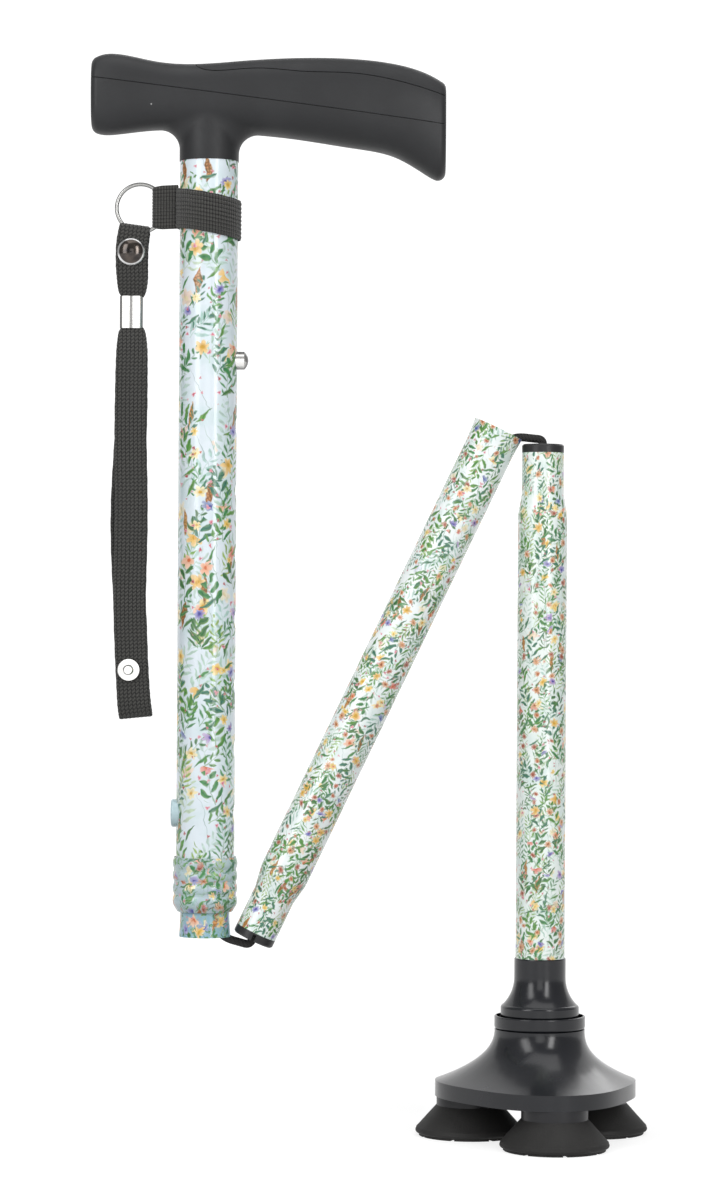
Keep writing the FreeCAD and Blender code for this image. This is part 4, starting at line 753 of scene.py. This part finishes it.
def braid(name):
    """The black braided sheath of the elastic cord. Its colour has painted shade: darker where the strands sink, with
    a painted highlight on the raised ones.
    """
    material, tree, surface = new_material(name)
    place = vector_sum(tree, "SCALE", row_place(tree), 1000.0)
    x, y, z = parts_of(tree, place)
    strands = 5.2
    one = sum_up(tree, "ADD", sum_up(tree, "ADD", x, y), z)
    one = sum_up(tree, "SINE", sum_up(tree, "MULTIPLY", one, strands))
    other = sum_up(tree, "SUBTRACT", sum_up(tree, "ADD", x, z), y)
    other = sum_up(tree, "SINE", sum_up(tree, "MULTIPLY", other, strands))
    over = sum_up(tree, "MAXIMUM", one, other)
    # Painted shade: darker where the strands sink, lighter on the raised crossings
    braid_with_painted_shade = blended(tree, spread(tree, over, -0.4, 1.0), (0.003, 0.003, 0.003, 1), (0.028, 0.027, 0.026, 1))
    joined(tree, braid_with_painted_shade, surface["Base Color"])
    surface["Roughness"].default_value = 0.8
    joined(tree, relief(tree, over, 0.8, 0.0003), surface["Normal"])
    return material


def stud_face(name, middle, radius):
    """The press stud: a dark polished face inside a bright rolled rim."""
    material, tree, surface = new_material(name)
    off = vector_sum(tree, "SUBTRACT", row_place(tree), middle)
    x, _, z = parts_of(tree, off)
    reach = sum_up(tree, "SQRT", sum_up(tree, "ADD", sum_up(tree, "MULTIPLY", x, x), sum_up(tree, "MULTIPLY", z, z)))
    rim = spread(tree, reach, radius * 0.84, radius * 0.90)
    tarnish = spread(tree, clouds(tree, row_place(tree), 300.0, 4.0), 0.35, 0.65)
    dark = blended(tree, tarnish, (0.035, 0.033, 0.034, 1), (0.10, 0.085, 0.075, 1))
    joined(tree, blended(tree, rim, dark, (0.70, 0.70, 0.70, 1)), surface["Base Color"])
    joined(tree, spread(tree, rim, 0.0, 1.0, 0.16, 0.24), surface["Roughness"])
    surface["Metallic"].default_value = 1.0
    return material


def dress(material, *nodes):
    """Gives CAD nodes their finish."""
    for node in nodes:
        slots = bpy.data.objects[node].data.materials
        slots.clear()
        slots.append(material)


def finish_nodes():
    dress(
        printed_film("outer_tube_film", UPPER_MOUTH, 0.0, OUTER_RADIUS, 0.78, (0.0, 0.0, 0.0), (0.74, 0.82, 0.88, 1),
                     Smear=0.0, Leafy=0.55, Yellow=0.62, Coral=0.55, Rust=0.0, Violet=0.45, Soft=0.3),
        "outer_tube",
    )
    dress(
        printed_film("middle_tube_film", MIDDLE_MOUTH, -(math.pi + FOLD), TUBE_RADIUS, 1.2, (31.0, 5.0, 0.0),
                     (0.88, 0.93, 0.93, 1),
                     Smear=0.6, Leafy=0.66, Yellow=0.4, Coral=0.35, Rust=0.5, Violet=0.45, Soft=0.35),
        "middle_tube",
    )
    dress(
        printed_film("lower_tube_film", LOWER_MOUTH, 0.0, TUBE_RADIUS, 1.2, (63.0, 17.0, 0.0), (0.85, 0.92, 0.89, 1),
                     Smear=0.9, Leafy=0.72, Yellow=0.45, Coral=0.35, Rust=0.46, Violet=0.35, Soft=0.4),
        "lower_tube",
    )
    dress(
        printed_film("inner_tube_film", UPPER_MOUTH, 0.0, TUBE_RADIUS, 0.9, (91.0, 40.0, 0.0), (0.26, 0.46, 0.58, 1),
                     Smear=3.5, Leafy=0.6, Yellow=1.0, Coral=0.3, Rust=0.1, Violet=1.0, Soft=0.45),
        "inner_tube",
    )
    dress(
        printed_film("collar_film", UPPER_MOUTH, 0.0, COLLAR_RADIUS, 0.9, (120.0, 23.0, 0.0), (0.44, 0.54, 0.60, 1),
                     Smear=2.4, Leafy=0.75, Yellow=0.4, Coral=0.8, Rust=0.6, Violet=0.9, Soft=0.4),
        "collar_nut",
    )
    dress(moulded("grip_plastic", (0.0175, 0.018, 0.0195), 0.52, 0.44, 0.18, 0.0002, dusty=0.011),
          "handle_lower_shell", "handle_upper_shell")
    dress(moulded("palm_pad_rubber", (0.0165, 0.017, 0.0185), 0.58, 0.50, 0.2, 0.0002, dusty=0.012),
          "handle_palm_pad")
    dress(moulded("black_nylon", (0.018, 0.018, 0.019), 0.42, 0.34, 0.12, 0.0002),
          "lower_end_cap", "middle_end_cap", "inner_guide", "handle_core", "lower_anchor", "inner_anchor")
    dress(moulded("clear_nylon", (0.40, 0.52, 0.56), 0.36, 0.28, 0.08, 0.0002, coat=0.2), "collet_bush")
    dress(moulded("polished_base_plastic", (0.0065, 0.0072, 0.010), 0.20, 0.28, 0.04, 0.0002, fine=900.0, coat=0.12),
          "ferrule", "foot_bell", "neck_ring")
    dress(moulded("plate_plastic", (0.014, 0.014, 0.016), 0.34, 0.42, 0.08, 0.0002), "foot_plate")
    dress(moulded("foot_rubber", (0.016, 0.0155, 0.015), 0.72, 0.62, 0.3, 0.0003, fine=1500.0, dusty=0.009),
          "foot_pad_1", "foot_pad_2", "foot_pad_3")
    dress(moulded("cup_acetal", (0.75, 0.75, 0.73), 0.4, 0.34, 0.06, 0.0002), "ball_cup")
    dress(plated("nickel_plate", (0.88, 0.87, 0.85), 0.14), "snap_button", "strap_clamp", "strap_stud",
          "press_stud_socket")
    dress(plated("ring_wire", (0.40, 0.40, 0.39), 0.2, 0.02), "split_ring")
    dress(plated("drawn_steel", (0.52, 0.52, 0.52), 0.28, 0.3), "ball_stud", "swivel_ball", "button_spring",
          "foot_screw_1", "foot_screw_2", "foot_screw_3")
    low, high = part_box("press_stud_cap")
    middle = (Vector(low) + Vector(high)) / 2
    dress(stud_face("press_stud_face", tuple(middle), (high[0] - low[0]) / 2), "press_stud_cap")
    dress(braid("cord_braid_inside"), "lower_cord", "middle_cord", "inner_cord")


# Soft pieces


def smooth_way(stations, steps):
    """Values between stations, carried on a smooth line through them."""
    made = []
    last = len(stations) - 1
    for index in range(last):
        before, start = stations[max(index - 1, 0)], stations[index]
        end, after = stations[index + 1], stations[min(index + 2, last)]
        for step in range(steps):
            t = step / steps
            made.append([
                0.5 * (2 * b + (c - a) * t + (2 * a - 5 * b + 4 * c - d) * t * t + (3 * b - a - 3 * c + d) * t**3)
                for a, b, c, d in zip(before, start, end, after)
            ])
    made.append(list(stations[-1]))
    return made


def web_piece(name, way, section, closed_way):
    """Skins a band of webbing. way holds frames (middle, across, outward, width, thickness) along it;
    section gives points (share across, share of thickness, bulge) round its edge."""
    count, around = len(way), len(section)
    points, plane = [], []
    along = 0.0
    for index, (middle, across, outward, width, thick) in enumerate(way):
        if index:
            along += (middle - way[index - 1][0]).length
        for share, level in section:
            points.append(middle + across * (share * width) + outward * (level * thick))
            plane.append((share * width, along))
    faces, corners = [], []
    spans = count if closed_way else count - 1
    whole = along + (way[0][0] - way[-1][0]).length
    for index in range(spans):
        following = (index + 1) % count
        for side in range(around):
            beside = (side + 1) % around
            faces.append((index * around + side, following * around + side,
                          following * around + beside, index * around + beside))
            first, second = plane[index * around + side], plane[index * around + beside]
            ahead = whole if following == 0 else plane[following * around][1]
            corners.append([first, (first[0], ahead), (second[0], ahead), second])
    if not closed_way:
        faces.append(tuple(range(around)))
        faces.append(tuple(reversed([(count - 1) * around + side for side in range(around)])))
        corners.append([plane[side] for side in range(around)])
        corners.append([plane[(count - 1) * around + side] for side in reversed(range(around))])
    piece = mesh_piece(name, points, faces, smooth=True)
    sheet = piece.data.uv_layers.new(name="web")
    flat = [value for face in corners for corner in face for value in corner]
    sheet.data.foreach_set("uv", flat)
    return piece


def webbing_section(ribs, rib):
    """Round the edge of a webbing: ribbed on both faces, rounded at both edges."""
    steps = ribs * 6
    top = [(-0.5 + 0.94 * (step / steps) + 0.03, 0.5 - rib + rib * abs(math.sin(math.pi * ribs * step / steps)))
           for step in range(steps + 1)]
    edge = [(0.492, 0.28), (0.5, 0.0), (0.492, -0.28)]
    bottom = [(-share, -level) for share, level in top]
    other = [(-0.492, -0.28), (-0.5, 0.0), (-0.492, 0.28)]
    return [*top, *edge, *bottom, *other]


def make_band():
    """The elastic band: round the tube, then both ends run together into the tab."""
    tube = OUTER_RADIUS + 0.05
    radius = tube + WEB_THICK / 2
    away = math.radians(27)
    line = [(-14.6, -0.72), (-13.6, -0.8), (-12.4, -1.6)]
    for step in range(61):
        angle = math.pi + away + (2 * math.pi - 2 * away) * step / 60
        line.append((radius * math.cos(angle), radius * math.sin(angle)))
    line += [(-12.4, 1.6), (-13.6, 0.8), (-14.6, 0.72)]
    line = smooth_way(line, 3)
    lean = math.tan(math.radians(10.5))
    way = []
    for index, (x, y) in enumerate(line):
        before, after = line[max(index - 1, 0)], line[min(index + 1, len(line) - 1)]
        run = Vector((after[0] - before[0], after[1] - before[1], 0)).normalized()
        out = Vector((run.y, -run.x, 0))
        near_tab = min(max((-x - 10.5) / 3.5, 0), 1)
        middle = Vector((x, y, 278.35 - lean * x + 0.5 * near_tab)) * MM + UPPER_MOUTH
        width = (15.3 + 0.3 * near_tab + 0.12 * math.sin(index * 0.35)) * MM
        way.append((middle, Vector((0, 0, 1)), out, width, WEB_THICK * MM))
    piece = web_piece("elastic_band", way, webbing_section(9, 0.22), closed_way=False)
    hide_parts("strap_band")
    return piece


def make_tab():
    """The tab: the webbing's own end, folded round the ring and sewn down on both faces."""
    thick = 1.15
    line = [(-11.9, -1.75), (-13.0, -1.72), (-15.0, -1.66), (-17.4, -1.6), (-19.4, -1.62), (-20.6, -1.35),
            (-21.2, -0.7), (-21.35, 0.0), (-21.2, 0.7), (-20.6, 1.35), (-19.4, 1.62), (-17.4, 1.6), (-15.0, 1.66),
            (-13.0, 1.72), (-11.9, 1.75)]
    line = smooth_way(line, 4)
    way = []
    for index, (x, y) in enumerate(line):
        before, after = line[max(index - 1, 0)], line[min(index + 1, len(line) - 1)]
        run = Vector((after[0] - before[0], after[1] - before[1], 0)).normalized()
        out = Vector((run.y, -run.x, 0)) * -1
        pinch = 0.9 * min(max((-x - 18.0) / 3.4, 0), 1)
        middle = Vector((x, y, 281.2 + 0.05 * (x + 17))) * MM + UPPER_MOUTH
        way.append((middle, Vector((0, 0, 1)), out, (16.6 - pinch) * MM, thick * MM))
    piece = web_piece("sewn_tab", way, webbing_section(12, 0.14), closed_way=False)
    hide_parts("strap_tab")
    return piece


# The strap from its fold over the ring to the clamp and on to its foot: height above the inner
# tube's mouth, distance from the middle plane, place beside the tube, width.
STRAP_DOWN = [
    (273.9, 0.0, -28.6, 11.5), (273.4, 1.6, -28.6, 11.7), (271.5, 2.5, -28.8, 12.1), (266.0, 2.9, -29.5, 12.3),
    (259.0, 2.9, -29.6, 12.2), (254.0, 2.5, -29.4, 11.9), (250.4, 1.8, -29.4, 11.2), (247.8, 1.15, -29.5, 10.0),
    (246.4, 0.8, -29.6, 8.2), (244.6, 0.75, -29.6, 7.2), (236.4, 0.75, -29.6, 7.2), (234.8, 0.8, -29.6, 8.2),
    (233.4, 1.15, -29.5, 10.0), (230.6, 1.8, -29.4, 11.0), (226.0, 2.5, -29.4, 11.8), (218.0, 3.0, -29.5, 12.1),
    (205.0, 3.15, -29.6, 12.3), (187.0, 3.25, -29.8, 12.5), (168.0, 3.35, -29.9, 12.7), (148.0, 3.4, -29.8, 12.7),
    (129.0, 3.45, -29.6, 12.6), (110.0, 3.5, -29.0, 12.4), (97.0, 3.6, -28.3, 12.4), (90.0, 3.5, -27.8, 12.6),
    (86.2, 2.4, -27.3, 12.8), (84.9, 0.9, -27.1, 12.8), (84.7, 0.0, -27.1, 12.8),
]


def strap_frames():
    """The whole loop: down in front, round the foot, and up behind, where it peeks out on the left."""
    front = smooth_way(STRAP_DOWN, 14)
    back = [row[:] for row in reversed(front[:-1])]
    loop = []
    for z, y, x, width in front:
        loop.append((x + 0.8 * bump(z, 206, 120), -y, z, width))
    for z, y, x, width in back:
        loop.append((x - 1.3 * bump(z, 206, 112), y, z, width))
    return loop


def bump(z, top, foot):
    """Rises from 0 at both heights to 1 midway, smoothly."""
    share = min(max((top - z) / (top - foot), 0), 1)
    return math.sin(math.pi * share) ** 2


def make_strap():
    """The wrist strap: one loop of webbing through the ring and the clamp."""
    loop = strap_frames()
    count = len(loop)
    way, path = [], []
    for index, (x, y, z, width) in enumerate(loop):
        before, after = loop[(index - 1) % (count - 1)], loop[(index + 1) % (count - 1)]
        run = Vector((after[0] - before[0], after[1] - before[1], after[2] - before[2])).normalized()
        fold = min(max((275.5 - z) / 8, 0), 1)
        lean = -0.17 * (1 - fold) + 0.10 * min(max((92 - z) / 6, 0), 1)
        across = Vector((1, 0, lean)).normalized()
        across = (across - run * across.dot(run)).normalized()
        out = run.cross(across).normalized()
        middle = Vector((x, y, z)) * MM + UPPER_MOUTH
        wave = 0.10 * math.sin(index * 0.9) + 0.06 * math.sin(index * 2.3)
        way.append((middle, across, out, (width + wave) * MM, WEB_THICK * MM))
        path.append(middle)
    piece = web_piece("wrist_webbing", way[:-1], webbing_section(8, 0.08), closed_way=True)
    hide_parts("wrist_strap")
    return piece


def cord_loop(name, points, turn, corner):
    """One bight of the elastic cord, over a cap and into the next mouth."""
    data = bpy.data.curves.new(name, "CURVE")
    data.dimensions = "3D"
    data.bevel_depth = CORD_RADIUS * MM
    data.bevel_resolution = 6
    data.use_fill_caps = True
    line = data.splines.new("NURBS")
    line.points.add(len(points) - 1)
    for point, (x, z) in zip(line.points, points):
        place = corner + turn @ (Vector((x, 0, z)) * MM)
        point.co = (*place, 1)
    line.use_endpoint_u = True
    line.order_u = 3
    line.resolution_u = 16
    drawn = bpy.data.objects.new(name + "_line", data)
    bpy.context.scene.collection.objects.link(drawn)
    skin = bpy.data.meshes.new_from_object(drawn.evaluated_get(bpy.context.evaluated_depsgraph_get()))
    bpy.data.objects.remove(drawn)
    piece = bpy.data.objects.new(name, skin)
    bpy.context.scene.collection.objects.link(piece)
    return piece


def make_cords():
    """Both bights of the cord, each drawn from its cap's hole to the next mouth, the upper one turned by its fold's
    angle.
    """
    low = [(0.0, -6.0), (0.0, -1.4), (-0.2, 1.9), (-4.0, 2.2), (-8.6, 2.75), (-12.0, 2.2), (-13.4, -1.4),
           (-16.4, -8.0)]
    hole = Vector((0, 0, CAP_TOP)) * MM
    lower = cord_loop("lower_bight", low, Matrix.Identity(3), hole)
    high = [(0.0, -6.0), (0.0, -1.4), (-0.2, 2.4), (-4.0, 3.1), (-8.6, 3.9), (-12.0, 3.4), (-13.4, -0.2),
            (-16.4, -7.0)]
    corner = MIDDLE_MOUTH + Vector((-math.sin(FOLD), 0, -math.cos(FOLD))) * (MIDDLE_REACH * MM)
    turn = Matrix.Rotation(math.pi + FOLD, 3, "Y") @ Matrix.Rotation(math.pi, 3, "Z")
    upper = cord_loop("upper_bight", high, turn, corner)
    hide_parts("lower_cord_loop")
    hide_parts("upper_cord_loop")
    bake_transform(lower)
    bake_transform(upper)
    return lower, upper


set_camera()
lower_bight, upper_bight = make_cords()
strap = make_strap()
band, tab = make_band(), make_tab()
lay_stage()
light_studio()
make_effects()
finish_nodes()

strap.data.materials.append(webbing("strap_webbing", 1.55, 1.45, 0.5))
band.data.materials.append(webbing("band_webbing", 1.48, 1.1, 0.0))
tab.data.materials.append(webbing("tab_webbing", 1.4, 1.1, 0.0))
sheath = braid("cord_braid")
for bight in (lower_bight, upper_bight):
    bight.data.materials.append(sheath)
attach(strap, "strap")
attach(band, "handle_section")
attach(tab, "handle_section")

bpy.context.scene.view_settings.view_transform = "Standard"
